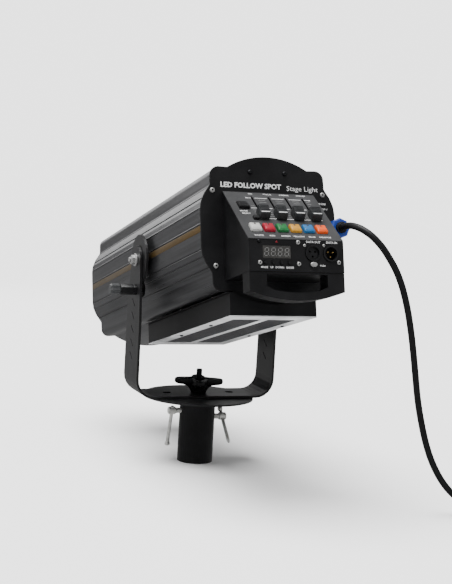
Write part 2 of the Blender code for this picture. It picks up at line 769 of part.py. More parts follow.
def make_panel_controls(panel):
    for number, x in enumerate(FADER_X, 1):
        cap = node(
            f"fader_{number}",
            block((-7.8 * MM, -9.5 * MM, 1.2 * MM), (7.8 * MM, 9.5 * MM, 12.6 * MM), 1.2 * MM),
            GREY_PLASTIC,
            panel,
            (x, -FADER_LOW, 0),
        )
        stem = block((-1.1 * MM, -7.5 * MM, -9 * MM), (1.1 * MM, -1.5 * MM, 4 * MM))
        cut(cap, [(stem, (0, 0, 0), (0, 0, 0))], "UNION")
    half = BUTTON_SIDE / 2
    for name, x in zip(BUTTON_NAMES, BUTTON_X):
        colour = finish(f"{name}_plastic", BUTTON_COLOURS[name], 0.35)
        cap = node(
            f"{name}_button",
            block((-half, -half, -7 * MM), (half, half, 5.5 * MM), 1.3 * MM),
            colour,
            panel,
            (x, -BUTTON_D, 0),
        )
        cut(cap, [(rod(1.5 * MM, 4 * MM, 9 * MM, 12), (0, 4.5 * MM, 0), (0, 0, 0))])
    node(
        "mode_rocker",
        block((-8 * MM, -9.4 * MM, -6 * MM), (8 * MM, 9.4 * MM, 3.6 * MM), 1 * MM),
        BLACK_PLASTIC,
        panel,
        (ROCKER_AT[0], -ROCKER_AT[1], 0),
        (math.radians(-9), 0, 0),
    )
    node(
        "tap_button",
        block((-4.1 * MM, -4.1 * MM, -6 * MM), (4.1 * MM, 4.1 * MM, 4 * MM), 0.8 * MM),
        BLACK_PLASTIC,
        panel,
        (TAP_AT[0], -TAP_AT[1], 0),
    )


def make_face_fittings(head):
    x0, x1, z0, z1 = DISPLAY_BOX
    inside = FACE_Y + CONSOLE_T + GAP
    window = block(
        (x0 + GAP, FACE_Y + 0.3 * MM, z0 + GAP), (x1 - GAP, FACE_Y + 9 * MM, z1 - GAP)
    )
    display = node("display_module", window, DISPLAY_GREY, head)
    board = block((x0 - 3 * MM, inside + 3 * MM, z0 - 1 * MM), (x1 + 3 * MM, inside + 5 * MM, z1 + 3 * MM))
    cut(display, [(board, (0, 0, 0), (0, 0, 0))], "UNION")
    for number, x in enumerate(MENU_X, 1):
        profile = [(0, 2 * MM), (2.3 * MM, 2 * MM), (2.3 * MM, -5 * MM), (0, -5 * MM)]
        node(
            f"menu_button_{number}",
            turned(profile, 12),
            BLACK_PLASTIC,
            head,
            (x, FACE_Y, MENU_Z),
            along("-Y"),
        )
    for name, x in XLR_X.items():
        out = name == "xlr_output"
        shell = [
            (11.8 * MM, 1.8 * MM),
            (11.8 * MM, -22 * MM),
            (0, -22 * MM),
            (0, -1.5 * MM if out else -13 * MM),
            (9.6 * MM if out else 9.4 * MM, -1.5 * MM if out else -13 * MM),
            (9.6 * MM if out else 9.4 * MM, 1.8 * MM),
        ]
        body = node(name, turned(shell, 28), BLACK_PLASTIC, head, (x, FACE_Y, XLR_Z), along("-Y"))
        pin = rod(1.3 * MM, -16 * MM, -1.5 * MM, 10)
        socket = rod(1.5 * MM, -14 * MM, 3 * MM, 10)
        extras = []
        for turn in (30, 150, 270):
            spot = (4.6 * MM * math.cos(math.radians(turn)), 4.6 * MM * math.sin(math.radians(turn)), 0)
            extras.append((socket if out else pin, spot, (0, 0, 0)))
        cut(body, extras, "DIFFERENCE" if out else "UNION")
    node(
        "xlr_release_tab",
        block((-5.2 * MM, FACE_Y - 3.8 * MM, -3.4 * MM), (5.2 * MM, FACE_Y - 1.3 * MM, 3.4 * MM), 0.8 * MM),
        PALE_GREY,
        head,
        (XLR_X["xlr_output"], 0, XLR_Z - 16.6 * MM),
    )


def make_handle(head):
    """A flat loop under the console, its grip bowed downwards."""
    top = CONSOLE_LOW - GAP
    outer_low = -104 * MM
    bow = 13 * MM
    half = CONSOLE_HALF
    outline = [(-half, top), (-half, outer_low)]
    for i in range(1, 12):
        x = -half + 2 * half * i / 12
        outline.append((x, outer_low - bow * (1 - (x / half) ** 2)))
    outline += [(half, outer_low), (half, top)]
    inner = 47 * MM
    window = [(-inner, top - 3 * MM), (-inner, outer_low + 7 * MM)]
    for i in range(1, 8):
        x = -inner + 2 * inner * i / 8
        window.append((x, outer_low + 11.5 * MM - bow * (1 - (x / half) ** 2)))
    window += [(inner, outer_low + 7 * MM), (inner, top - 3 * MM)]
    y0, y1 = FACE_Y + 1 * MM, FACE_Y + 27 * MM
    loop = node("rear_handle", prism(outline, y0, y1), POWDER, head)
    cut(loop, [(prism(window, y0 - 9 * MM, y1 + 9 * MM), (0, 0, 0), (0, 0, 0))])


def make_mains(head):
    inlet = [
        (15.2 * MM, 2.6 * MM),
        (15.2 * MM, GAP),
        (12.8 * MM, GAP),
        (12.8 * MM, -16 * MM),
        (0, -16 * MM),
        (0, -9 * MM),
        (11 * MM, -9 * MM),
        (11 * MM, 2.6 * MM),
    ]
    node("mains_inlet", turned(inlet, 28), GREY_PLASTIC, head, INLET, along("-Y"))
    connector = [
        (0, CONNECTOR_LEN),
        (5.8 * MM, CONNECTOR_LEN),
        (7 * MM, 62.5 * MM),
        (8.6 * MM, 62 * MM),
        (8.6 * MM, 57.5 * MM),
        (11.4 * MM, 57 * MM),
        (13.4 * MM, 52 * MM),
        (13.4 * MM, 3 * MM),
        (10.6 * MM, 3 * MM),
        (10.6 * MM, -8 * MM),
        (0, -8 * MM),
    ]
    node("mains_connector", turned(connector, 28), BLUE_PLASTIC, head, INLET, along("-Y"))


# ---------------------------------------------------------------- mains lead
def smooth(points, spacing):
    """A Catmull-Rom curve through the points, at about even spacing."""
    points = [Vector(p) for p in points]
    padded = [2 * points[0] - points[1]] + points + [2 * points[-1] - points[-2]]
    made = []
    for i in range(1, len(padded) - 2):
        a, b, c, d = padded[i - 1 : i + 3]
        count = max(1, round((c - b).length / spacing))
        for k in range(count):
            t = k / count
            made.append(
                0.5
                * (
                    2 * b
                    + (c - a) * t
                    + (2 * a - 5 * b + 4 * c - d) * t * t
                    + (3 * b - a - 3 * c + d) * t**3
                )
            )
    return made + [points[-1]]


def tube_node(name, points):
    curve = bpy.data.curves.new(name, "CURVE")
    curve.dimensions = "3D"
    curve.bevel_depth = CORD_R
    curve.bevel_resolution = 2
    curve.use_fill_caps = True
    spline = curve.splines.new("POLY")
    spline.points.add(len(points) - 1)
    for point, place in zip(spline.points, points):
        point.co = (*place, 1)
    curve.materials.append(RUBBER)
    made = bpy.data.objects.new(name, curve)
    bpy.context.scene.collection.objects.link(made)
    return made


def make_lead(head):
    exit_point = head.matrix_world @ (INLET + Vector((0, -CONNECTOR_LEN - GAP, 0)))
    route = [exit_point] + [Vector(p) for p in CORD_ROUTE]
    line = smooth(route, 2.2 * 2 * CORD_R)
    line[0] = line[0] + (line[1] - line[0]).normalized() * 2 * GAP
    tube_node("mains_lead", line)
    turned_ring = ring_of(COIL_R + CORD_R + 0.8 * MM, COIL_R - CORD_R - 0.8 * MM, 0.2 * MM, COIL_HIGH, 40)
    node("mains_lead_coil", turned_ring, RUBBER, place=COIL_CENTRE)
    plug = [
        (0, 0),
        (5.6 * MM, 0),
        (8 * MM, 14 * MM),
        (13 * MM, 20 * MM),
        (17.6 * MM, 26 * MM),
        (17.6 * MM, 46 * MM),
        (16.4 * MM, 48 * MM),
        (0, 48 * MM),
    ]
    body = node("mains_plug", turned(plug, 24), BLACK_PLASTIC, place=PLUG_AT, turn=along("Y"))
    pin = rod(2.4 * MM, 40 * MM, 66 * MM, 12)
    cut(body, [(pin, (sign * 9.5 * MM, 0, 0), (0, 0, 0)) for sign in (-1, 1)], "UNION")


# ---------------------------------------------------------------- assembly
def build():
    head = frame_empty("head_frame", (0, 0, PIVOT_Z), (-NOSE_DOWN, 0, 0))
    panel = frame_empty("panel_frame", (0, REAR_Y, SLOPE_TOP), (SLOPE_ANGLE, 0, 0), head)
    bpy.context.view_layer.update()
    make_base()
    make_clamp_screws()
    make_yoke()
    make_star_knob()
    make_pivots()
    make_housing(head)
    make_lens_barrel(head)
    make_optics(head)
    make_driver_box(head)
    make_console(head, panel)
    make_panel_controls(panel)
    make_face_fittings(head)
    make_handle(head)
    make_mains(head)
    make_lead(head)
    bpy.context.view_layer.update()


build()
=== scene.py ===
# %% [markdown]
# # A follow spot on its yoke
#
# A follow spot is a long-throw stage light that an operator aims by hand. This lesson dresses a
# finished engineering model: every plate, knob and screw already has its true size and place,
# so the work here is surface, small detail and light. Everything is in metres, +Z is up, and
# the origin is at the lower end of the stand socket.

# %% Load the engineering model as a fixed frame
import math

import bmesh
import bpy
from mathutils import Matrix, Vector


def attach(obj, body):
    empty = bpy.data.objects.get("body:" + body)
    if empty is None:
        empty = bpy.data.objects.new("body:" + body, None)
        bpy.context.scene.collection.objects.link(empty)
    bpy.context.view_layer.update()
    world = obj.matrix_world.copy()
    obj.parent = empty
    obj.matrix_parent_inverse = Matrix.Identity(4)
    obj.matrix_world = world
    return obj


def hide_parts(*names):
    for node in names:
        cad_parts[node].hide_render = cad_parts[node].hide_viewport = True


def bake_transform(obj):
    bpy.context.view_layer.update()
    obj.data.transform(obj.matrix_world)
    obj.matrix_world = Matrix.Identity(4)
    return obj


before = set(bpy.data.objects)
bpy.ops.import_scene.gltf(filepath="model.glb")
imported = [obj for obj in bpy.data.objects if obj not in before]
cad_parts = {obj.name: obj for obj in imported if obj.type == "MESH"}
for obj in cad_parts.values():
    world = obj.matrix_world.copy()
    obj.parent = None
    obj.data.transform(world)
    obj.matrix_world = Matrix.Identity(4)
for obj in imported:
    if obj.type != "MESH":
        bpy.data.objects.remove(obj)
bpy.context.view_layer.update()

# %% [markdown]
# ## Measures shared by every piece
#
# The head is drawn in its own axes, with its origin at the tilt pivot, and hangs nose down at
# rest. Two matrices carry a mesh to its place: one for the head, one for the sloped panel.
# A finished piece keeps its object at the origin and its place in its mesh.

# %% Measures
MM = 0.001
NOSE_DOWN = math.radians(14.56)
PIVOT_Z = 341 * MM
REAR_Y = -281.9 * MM
FRONT_Y = 336.8 * MM
SLOPE_TOP = 59.3 * MM
SLOPE_LOW = -29.3 * MM
CONSOLE_DEEP = 96.9 * MM
FACE_Y = REAR_Y - CONSOLE_DEEP
SLOPE_ANGLE = math.atan2(SLOPE_TOP - SLOPE_LOW, CONSOLE_DEEP)
HEAD = Matrix.Translation((0, 0, PIVOT_Z)) @ Matrix.Rotation(-NOSE_DOWN, 4, "X")
PANEL = HEAD @ Matrix.Translation((0, REAR_Y, SLOPE_TOP)) @ Matrix.Rotation(SLOPE_ANGLE, 4, "X")
print("head turned by", round(math.degrees(NOSE_DOWN), 2), "degrees")

# %% [markdown]
# ## The camera
#
# A long lens from behind and to the left, a little above the lamp, as an operator's assistant
# would see it. The camera is placed from its direction and distance rather than by eye.

# %% Camera
AZIMUTH = math.radians(20.83)
ELEVATION = math.radians(5.78)
ROLL = math.radians(3.29)
DISTANCE = 2.2539
TARGET = Vector((0.0350, -0.0133, 0.2917))
LENS_MM = 82.2


def aim_camera():
    back = Vector(
        (
            -math.sin(AZIMUTH) * math.cos(ELEVATION),
            -math.cos(AZIMUTH) * math.cos(ELEVATION),
            math.sin(ELEVATION),
        )
    )
    right = (-back).cross(Vector((0, 0, 1))).normalized()
    up = right.cross(-back)
    turned_right = right * math.cos(ROLL) + up * math.sin(ROLL)
    turned_up = up * math.cos(ROLL) - right * math.sin(ROLL)
    place = Matrix((turned_right, turned_up, back)).transposed().to_4x4()
    place.translation = TARGET + back * DISTANCE
    camera = bpy.data.objects.new("camera", bpy.data.cameras.new("camera"))
    bpy.context.scene.collection.objects.link(camera)
    camera.matrix_world = place
    camera.data.lens = LENS_MM
    camera.data.sensor_width = 36
    camera.data.clip_end = 50
    bpy.context.scene.camera = camera
    return camera


camera = aim_camera()
print("camera at", [round(c, 3) for c in camera.location])

# %% [markdown]
# ## Shader sums as plain Python
#
# A node tree for a finish is mostly arithmetic. A small class wraps a socket, so that
# `1 - mask` or `grain * 0.3 + 0.4` adds the Math nodes by itself. Any other node comes from
# one method, which sets the node's own settings first and its sockets after.


# %% Socket arithmetic
class Wire:
    """A socket that can be added, subtracted and multiplied like a number."""

    def __init__(self, tree, socket):
        self.tree = tree
        self.socket = socket

    def sum_node(self, operation, *values, clamp=False):
        made = add_node(
            self.tree,
            "ShaderNodeMath",
            {"operation": operation, "use_clamp": clamp},
            dict(enumerate(values)),
        )
        return Wire(self.tree, made.outputs[0])

    def __add__(self, other):
        return self.sum_node("ADD", self, other)

    def __radd__(self, other):
        return self.sum_node("ADD", other, self)

    def __sub__(self, other):
        return self.sum_node("SUBTRACT", self, other)

    def __rsub__(self, other):
        return self.sum_node("SUBTRACT", other, self)

    def __mul__(self, other):
        return self.sum_node("MULTIPLY", self, other)

    def __rmul__(self, other):
        return self.sum_node("MULTIPLY", other, self)

    def between(self, low, high):
        """0 up to low, 1 from high on, and a straight line from one to the other."""
        wide = high - low
        return self.sum_node("MULTIPLY_ADD", self, 1 / wide, -low / wide, clamp=True)


def add_node(tree, kind, settings=None, values=None):
    """Any node: its settings first, then a value or a link for each of its sockets."""
    made = tree.nodes.new(kind)
    for name, value in (settings or {}).items():
        setattr(made, name, value)
    for name, value in (values or {}).items():
        if isinstance(value, Wire):
            tree.links.new(value.socket, made.inputs[name])
        else:
            made.inputs[name].default_value = value
    return made


print("socket arithmetic ready")

# %% [markdown]
# ## A finish under construction
#
# Every finish starts in the same way: a material, its shader, and object coordinates turned to
# suit the piece. One class holds them, with the few nodes that all finishes share: noise of a
# size given in metres, a mix of two colours, and a bump.


# %% The shared nodes of a finish
class Finish:
    """A material under construction: its tree, its shader and its coordinates."""

    def __init__(self, name, turn=0.0):
        self.material = bpy.data.materials.new(name)
        self.material.use_nodes = True
        self.tree = self.material.node_tree
        self.shader = self.tree.nodes["Principled BSDF"]
        place = self.node("ShaderNodeTexCoord").outputs["Object"]
        given = {"Vector": Wire(self.tree, place), "Rotation": (turn, 0, 0)}
        mapping = self.node("ShaderNodeMapping", values=given)
        self.place = Wire(self.tree, mapping.outputs["Vector"])

    def node(self, kind, settings=None, values=None):
        return add_node(self.tree, kind, settings, values)

    def noise(self, size, stretch=(1, 1, 1), detail=2.0):
        """Noise whose blotches are about this wide, in metres, stretched along an axis."""
        scaled = self.node(
            "ShaderNodeVectorMath",
            {"operation": "MULTIPLY"},
            {0: self.place, 1: tuple(1 / (size * s) for s in stretch)},
        )
        given = {"Vector": Wire(self.tree, scaled.outputs[0]), "Scale": 1.0, "Detail": detail}
        made = self.node("ShaderNodeTexNoise", values=given)
        return Wire(self.tree, made.outputs["Fac"])

    def mix(self, share, first, second):
        """A colour between two colours."""
        made = self.node(
            "ShaderNodeMix",
            {"data_type": "RGBA"},
            {0: share, 6: self.colour(first), 7: self.colour(second)},
        )
        return Wire(self.tree, made.outputs[2])

    @staticmethod
    def colour(value):
        return value if isinstance(value, Wire) else (*value, 1)

    def set(self, **values):
        """Sockets of the shader, by name with _ for a space."""
        for name, value in values.items():
            socket = self.shader.inputs[name.replace("_", " ")]
            if isinstance(value, Wire):
                self.tree.links.new(value.socket, socket)
            elif isinstance(value, tuple):
                socket.default_value = (*value, 1)
            else:
                socket.default_value = value
        return self

    def bump(self, height, depth, strength):
        given = {"Height": height, "Distance": depth, "Strength": strength}
        made = self.node("ShaderNodeBump", values=given)
        self.tree.links.new(made.outputs["Normal"], self.shader.inputs["Normal"])
        return self


print("shader helpers ready")

# %% [markdown]
# ## Painted and plated metals
#
# Powder coat is baked paint: nearly black, with a fine skin like orange peel that breaks up
# its highlight. Anodised aluminium keeps the fine drawn lines of its extrusion, so its grain
# is noise stretched along the head. Plated steel is bright, with faint turning marks.


# %% Metals
def powder_coat(name, colour, roughness=0.42, turn=NOSE_DOWN, gloss=0.16):
    made = Finish(name, turn)
    peel = made.noise(0.9 * MM, detail=1.0)
    speck = made.noise(0.28 * MM, detail=0.0)
    cloud = made.noise(45 * MM, detail=3.0)
    lighter = tuple(min(1.0, c * 1.5 + 0.0015) for c in colour)
    made.set(
        Base_Color=made.mix(cloud.between(0.35, 0.7), colour, lighter),
        Roughness=cloud * 0.12 + peel * 0.10 + (roughness - 0.11),
        Specular_IOR_Level=gloss,
    )
    made.bump(peel * 0.7 + speck * 0.3, 0.10 * MM, 0.55)
    return made.material


def drawn_aluminium(name, colour, light, roughness=0.34, metallic=0.85):
    """Extruded and anodised: fine lines that run the length of the head."""
    made = Finish(name, NOSE_DOWN)
    lines = made.noise(0.5 * MM, (1, 420, 1), detail=2.0)
    bands = made.noise(5 * MM, (1, 90, 1), detail=2.0)
    cloud = made.noise(60 * MM, detail=2.0)
    made.set(
        Base_Color=made.mix((lines * 0.55 + bands * 0.45).between(0.36, 0.66), colour, light),
        Roughness=lines * 0.16 + cloud * 0.10 + (roughness - 0.13),
        Metallic=metallic,
    )
    made.bump(lines, 0.05 * MM, 0.5)
    return made.material


def plated_steel(name, colour, roughness=0.32, metallic=1.0):
    made = Finish(name)
    marks = made.noise(0.35 * MM, (1, 1, 6), detail=2.0)
    cloud = made.noise(9 * MM, detail=3.0)
    dull = tuple(c * 0.72 for c in colour)
    made.set(
        Base_Color=made.mix(cloud.between(0.4, 0.75), colour, dull),
        Roughness=marks * 0.14 + cloud * 0.16 + (roughness - 0.10),
        Metallic=metallic,
    )
    made.bump(marks, 0.03 * MM, 0.4)
    return made.material


POWDER = powder_coat("black powder coat", (0.0032, 0.0032, 0.0036))
# The yoke, base disc and pivot discs get a glossier copy of the powder coat; its lighter colour is
# painted sheen for the grey sheen these parts catch.
YOKE_POWDER_PAINTED_SHEEN = powder_coat(
    "black powder coat, upright", (0.0050, 0.0050, 0.0054), 0.34, turn=0.0, gloss=0.30
)
PANEL_GREY = powder_coat("panel grey", (0.021, 0.0213, 0.0222), 0.55)
PALE_GREY = powder_coat("pale grey paint", (0.34, 0.34, 0.345), 0.5)
ANODISED = drawn_aluminium(
    "dark anodised aluminium", (0.018, 0.018, 0.020), (0.074, 0.074, 0.080), 0.32
)
BARE = drawn_aluminium("bare aluminium", (0.50, 0.50, 0.52), (0.66, 0.66, 0.68), 0.38, 1.0)
BRIGHT = plated_steel("bright steel", (0.30, 0.30, 0.295), 0.34, 0.6)
# The tommy bars and clamp screws face down, away from the lights: this steel is lighter and less
# metallic than the bolts' steel, a painted reflection for the bright sheen they show.
BAR_STEEL_PAINTED_REFLECTION = plated_steel("tommy bar steel", (0.55, 0.55, 0.53), 0.36, 0.55)
BLACKENED = plated_steel("blackened steel", (0.020, 0.020, 0.022), 0.38)
GOLD = plated_steel("gold plating", (0.60, 0.38, 0.11), 0.22)
print("metals", len(bpy.data.materials))

# %% [markdown]
# ## Plastics, rubber and glass
#
# Moulded plastic has a soft grain from its tool and a slight sheen. The button caps are a
# clearer plastic with a thin gloss on top. The cable jacket is matt and slightly ribbed.


# %% Plastics
def moulded(name, colour, roughness=0.42, coat=0.0, grain=0.35 * MM, gloss=0.3):
    made = Finish(name)
    skin = made.noise(grain, detail=1.0)
    cloud = made.noise(7 * MM, detail=2.0)
    lighter = tuple(min(1.0, c * 1.25 + 0.001) for c in colour)
    made.set(
        Base_Color=made.mix(cloud.between(0.35, 0.75), colour, lighter),
        Roughness=skin * 0.12 + cloud * 0.10 + (roughness - 0.11),
    )
    made.shader.inputs["Coat Weight"].default_value = coat
    made.shader.inputs["Specular IOR Level"].default_value = gloss
    made.bump(skin, 0.03 * MM, 0.5)
    return made.material


BLACK_PLASTIC = moulded("black plastic", (0.0035, 0.0035, 0.004), gloss=0.2)
GREY_PLASTIC = moulded("grey plastic", (0.016, 0.017, 0.018), 0.4, gloss=0.2)
BLUE_PLASTIC = moulded("blue plastic", (0.006, 0.028, 0.20), 0.36, 0.1)
BEIGE_PLASTIC = moulded("beige plastic", (0.22, 0.19, 0.14), 0.4)
RUBBER = moulded("black rubber", (0.0035, 0.0035, 0.0040), 0.5, gloss=0.2)
BUTTON_COLOURS = {
    "white": (0.30, 0.30, 0.29),
    "red": (0.20, 0.0035, 0.014),
    "green": (0.0055, 0.085, 0.022),
    "yellow": (0.32, 0.155, 0.016),
    "blue": (0.010, 0.080, 0.20),
    "orange": (0.48, 0.055, 0.005),
}
BUTTON_FINISH = {
    name: moulded(f"{name} button plastic", colour, 0.34, 0.15, 0.6 * MM)
    for name, colour in BUTTON_COLOURS.items()
}
print("button plastics", len(BUTTON_FINISH))


# %% Lens glass, and the ink of the print
def clear_glass():
    made = Finish("clear glass")
    cloud = made.noise(20 * MM)
    made.set(Base_Color=(0.93, 0.97, 0.97), Roughness=cloud * 0.03 + 0.01, Metallic=0.0)
    made.shader.inputs["Transmission Weight"].default_value = 1.0
    return made.material


GLASS = clear_glass()
WHITE_PRINT = moulded("white print", (0.50, 0.50, 0.50), 0.5)
GREY_PRINT = moulded("grey print", (0.17, 0.17, 0.17), 0.5)
print("lens glass and ink")

# %% [markdown]
# ## Finishes for the engineering model
#
# Plates, straps and tubes already have their true shape, so they only need a finish. The parts
# inside the housing get one too, because an exploded or opened view would show them. One
# table gives each finish its parts.

# %% Finishes of the parts
KEPT = {
    POWDER: "socket_tube front_plate lens_barrel driver_box console_body rear_handle rear_plate",
    YOKE_POWDER_PAINTED_SHEEN: "base_disc yoke pivot_disc_left pivot_disc_right",
    PANEL_GREY: "console_panel",
    PALE_GREY: "driver_box_cover xlr_release_tab",
    ANODISED: "upper_shell lower_shell",
    BARE: "heat_sink power_supply colour_wheel",
    BAR_STEEL_PAINTED_REFLECTION: "clamp_screw_left clamp_screw_right tommy_bar_left tommy_bar_right",
    BRIGHT: "pivot_bolt_left pivot_bolt_right",
    BLACKENED: "centre_stud wheel_motor iris_ring",
    BLACK_PLASTIC: "pan_star_knob tilt_lock_knob_left tilt_lock_knob_right fan_frame fan_rotor"
    " mode_rocker tap_button menu_button_1 menu_button_2 menu_button_3 menu_button_4"
    " xlr_output xlr_input mains_plug",
    GREY_PLASTIC: "fader_1 fader_2 fader_3 fader_4 mains_inlet display_module",
    BLUE_PLASTIC: "mains_connector",
    GLASS: "front_lens condenser_lens",
    RUBBER: "mains_lead mains_lead_coil",
    BEIGE_PLASTIC: "led_module",
}


def dress(name, material):
    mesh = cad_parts[name].data
    mesh.materials.clear()
    mesh.materials.append(material)


for material, names in KEPT.items():
    for name in names.split():
        dress(name, material)
for name, material in BUTTON_FINISH.items():
    dress(f"{name}_button", material)
print("dressed", len(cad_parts))

# %% [markdown]
# ## Placing a mesh
#
# Every new piece is drawn in the axes that suit it, then its mesh is carried to its place.


# %% Piece helpers
def mesh_from(bm, name):
    bmesh.ops.remove_doubles(bm, verts=bm.verts, dist=1e-7)
    bmesh.ops.recalc_face_normals(bm, faces=bm.faces)
    mesh = bpy.data.meshes.new(name)
    bm.to_mesh(mesh)
    bm.free()
    return mesh


def piece(name, mesh, material, body, place, slot, sharp=35, stands_for=()):
    """A finished piece at the origin, with its place in its mesh, on a body."""
    mesh.transform(place)
    made = bpy.data.objects.new(name, mesh)
    bpy.context.scene.collection.objects.link(made)
    mesh.materials.clear()
    mesh.materials.append(material)
    if sharp is not None:
        mesh.shade_smooth()
        mesh.set_sharp_from_angle(angle=math.radians(sharp))
    if body is not None:
        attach(made, body)
    if stands_for:
        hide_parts(*stands_for)
    return made


# %% [markdown]
# ## Repeating a small part with Geometry Nodes
#
# Screws, scale marks and vent bars are one small shape many times over. One node tree does
# them all: it puts a pattern on every point, stretches it by an attribute of the point, makes
# the copies real and gives them their finish. The result is turned into a plain mesh.


# %% The repeating tree
def repeating_tree():
    tree = bpy.data.node_groups.new("repeat on points", "GeometryNodeTree")
    face = tree.interface
    face.new_socket("Geometry", in_out="INPUT", socket_type="NodeSocketGeometry")
    face.new_socket("Pattern", in_out="INPUT", socket_type="NodeSocketObject")
    face.new_socket("Size", in_out="INPUT", socket_type="NodeSocketFloat")
    face.new_socket("Spin", in_out="INPUT", socket_type="NodeSocketFloat")
    face.new_socket("Finish", in_out="INPUT", socket_type="NodeSocketMaterial")
    face.new_socket("Geometry", in_out="OUTPUT", socket_type="NodeSocketGeometry")
    given = tree.nodes.new("NodeGroupInput")
    result = tree.nodes.new("NodeGroupOutput")
    pattern = tree.nodes.new("GeometryNodeObjectInfo")
    kind = {"data_type": "FLOAT_VECTOR"}
    stretch = add_node(tree, "GeometryNodeInputNamedAttribute", kind, {0: "stretch"})
    scale = add_node(tree, "ShaderNodeVectorMath", {"operation": "SCALE"})
    index = tree.nodes.new("GeometryNodeInputIndex")
    angle = add_node(tree, "ShaderNodeMath", {"operation": "MULTIPLY"})
    turn = tree.nodes.new("ShaderNodeCombineXYZ")
    place = tree.nodes.new("GeometryNodeInstanceOnPoints")
    real = tree.nodes.new("GeometryNodeRealizeInstances")
    painted = tree.nodes.new("GeometryNodeSetMaterial")
    for source, target in (
        (given.outputs["Pattern"], pattern.inputs["Object"]),
        (stretch.outputs["Attribute"], scale.inputs[0]),
        (given.outputs["Size"], scale.inputs["Scale"]),
        (index.outputs[0], angle.inputs[0]),
        (given.outputs["Spin"], angle.inputs[1]),
        (angle.outputs[0], turn.inputs["Z"]),
        (given.outputs["Geometry"], place.inputs["Points"]),
        (pattern.outputs["Geometry"], place.inputs["Instance"]),
        (turn.outputs[0], place.inputs["Rotation"]),
        (scale.outputs[0], place.inputs["Scale"]),
        (place.outputs["Instances"], real.inputs["Geometry"]),
        (real.outputs["Geometry"], painted.inputs["Geometry"]),
        (given.outputs["Finish"], painted.inputs["Material"]),
        (painted.outputs["Geometry"], result.inputs["Geometry"]),
    ):
        tree.links.new(source, target)
    return tree


REPEAT = repeating_tree()
print("repeating tree with", len(REPEAT.nodes), "nodes")


# %% Put a pattern on every place
def repeat(name, pattern_mesh, places, material, body, carry, slot, size=1.0, stretches=None, spin=0.0):
    """The pattern on every place, as one plain mesh on a body, carried by a matrix."""
    points = bpy.data.meshes.new(name)
    points.from_pydata([tuple(p) for p in places], [], [])
    attribute = points.attributes.new("stretch", "FLOAT_VECTOR", "POINT")
    for item, stretch in zip(attribute.data, stretches or [(1, 1, 1)] * len(places)):
        item.vector = stretch
    pattern = bpy.data.objects.new(name + " pattern", pattern_mesh)
    host = bpy.data.objects.new(name + " host", points)
    bpy.context.scene.collection.objects.link(host)
    modifier = host.modifiers.new("repeat", "NODES")
    modifier.node_group = REPEAT
    face = REPEAT.interface.items_tree
    socket_of = {item.name: item.identifier for item in face if item.in_out == "INPUT"}
    modifier[socket_of["Pattern"]] = pattern
    modifier[socket_of["Size"]] = float(size)
    modifier[socket_of["Spin"]] = float(spin)
    modifier[socket_of["Finish"]] = material
    graph = bpy.context.evaluated_depsgraph_get()
    made = bpy.data.meshes.new_from_object(host.evaluated_get(graph))
    bpy.data.objects.remove(host)
    bpy.data.objects.remove(pattern)
    return piece(name, made, material, body, carry, slot)


print("the tree takes", ", ".join(item.name for item in REPEAT.interface.items_tree))

# %% [markdown]
# ## Faces to build on
#
# Screws and print are drawn flat, with Z pointing out of the face, and carried by the matrix
# of the face they sit on.

# %% Matrices of the flat faces
QUARTER = Matrix.Rotation(math.radians(90), 4, "X")
PLATE_FACE = HEAD @ Matrix.Translation((0, REAR_Y, 0)) @ QUARTER
CONSOLE_FACE = HEAD @ Matrix.Translation((0, FACE_Y, 0)) @ QUARTER
BOX_LOW = -129.2 * MM
BOX_HALF = 69.1 * MM
BOX_UNDER = HEAD @ Matrix.Translation((0, 0, BOX_LOW)) @ Matrix.Rotation(math.pi, 4, "X")
print("four faces: plate, console, panel and underside")

# %% [markdown]
# ## Three ways to a simple solid
#
# A bar is a box with its edges broken. A cap, pin or nut is a profile turned about an axis,
# whose radius may vary with the angle, which gives facets and lobes. A screw head is turned
# too, and its last two rings are six-sided, which makes the socket for the key.


# %% Boxes, turned shapes and screw heads
def close_loop(bm, one, two):
    """Faces between two rings of as many points."""
    count = len(one)
    for i in range(count):
        j = (i + 1) % count
        bm.faces.new((one[i], one[j], two[j], two[i]))


def stack_of(bm, rings):
    """Faces from ring to ring, with both ends closed."""
    for one, two in zip(rings, rings[1:]):
        close_loop(bm, one, two)
    bm.faces.new(rings[0][::-1])
    bm.faces.new(rings[-1])


def box_mesh(low, high, bevel=0.0, segments=2):
    bm = bmesh.new()
    size = Vector(high) - Vector(low)
    centre = (Vector(high) + Vector(low)) / 2
    place = Matrix.Translation(centre) @ Matrix.Diagonal((*size, 1))
    bmesh.ops.create_cube(bm, size=1, matrix=place)
    if bevel:
        bmesh.ops.bevel(
            bm, geom=bm.edges[:], offset=bevel, segments=segments, affect="EDGES", profile=0.5
        )
    return mesh_from(bm, "box")


def box_between(corner, other, bevel):
    """A box from any two opposite corners."""
    spans = [sorted(pair) for pair in zip(corner, other)]
    return box_mesh([low for low, _ in spans], [high for _, high in spans], bevel)


def lathe_mesh(profile, steps=32, shape=None):
    """A solid of revolution about Z from a closed loop of (radius, height); 0 is the axis."""
    bm = bmesh.new()
    rings = []
    for radius, height in profile:
        if radius == 0:
            rings.append([bm.verts.new((0, 0, height))])
            continue
        ring = []
        for i in range(steps):
            angle = 2 * math.pi * i / steps
            r = radius * (shape(angle, radius) if shape else 1)
            ring.append(bm.verts.new((r * math.cos(angle), r * math.sin(angle), height)))
        rings.append(ring)
    for one, two in zip(rings, rings[1:] + rings[:1]):
        if len(one) == 1 and len(two) == 1:
            continue
        if len(one) > 1 and len(two) > 1:
            close_loop(bm, one, two)
            continue
        for i in range(steps):
            j = (i + 1) % steps
            if len(one) == 1:
                bm.faces.new((one[0], two[j], two[i]))
            else:
                bm.faces.new((one[i], one[j], two[0]))
    return mesh_from(bm, "turned")


def lathe_mm(profile, steps=32, shape=None):
    """The same, from a profile in millimetres."""
    return lathe_mesh([(radius * MM, height * MM) for radius, height in profile], steps, shape)


print("boxes and turned shapes ready")


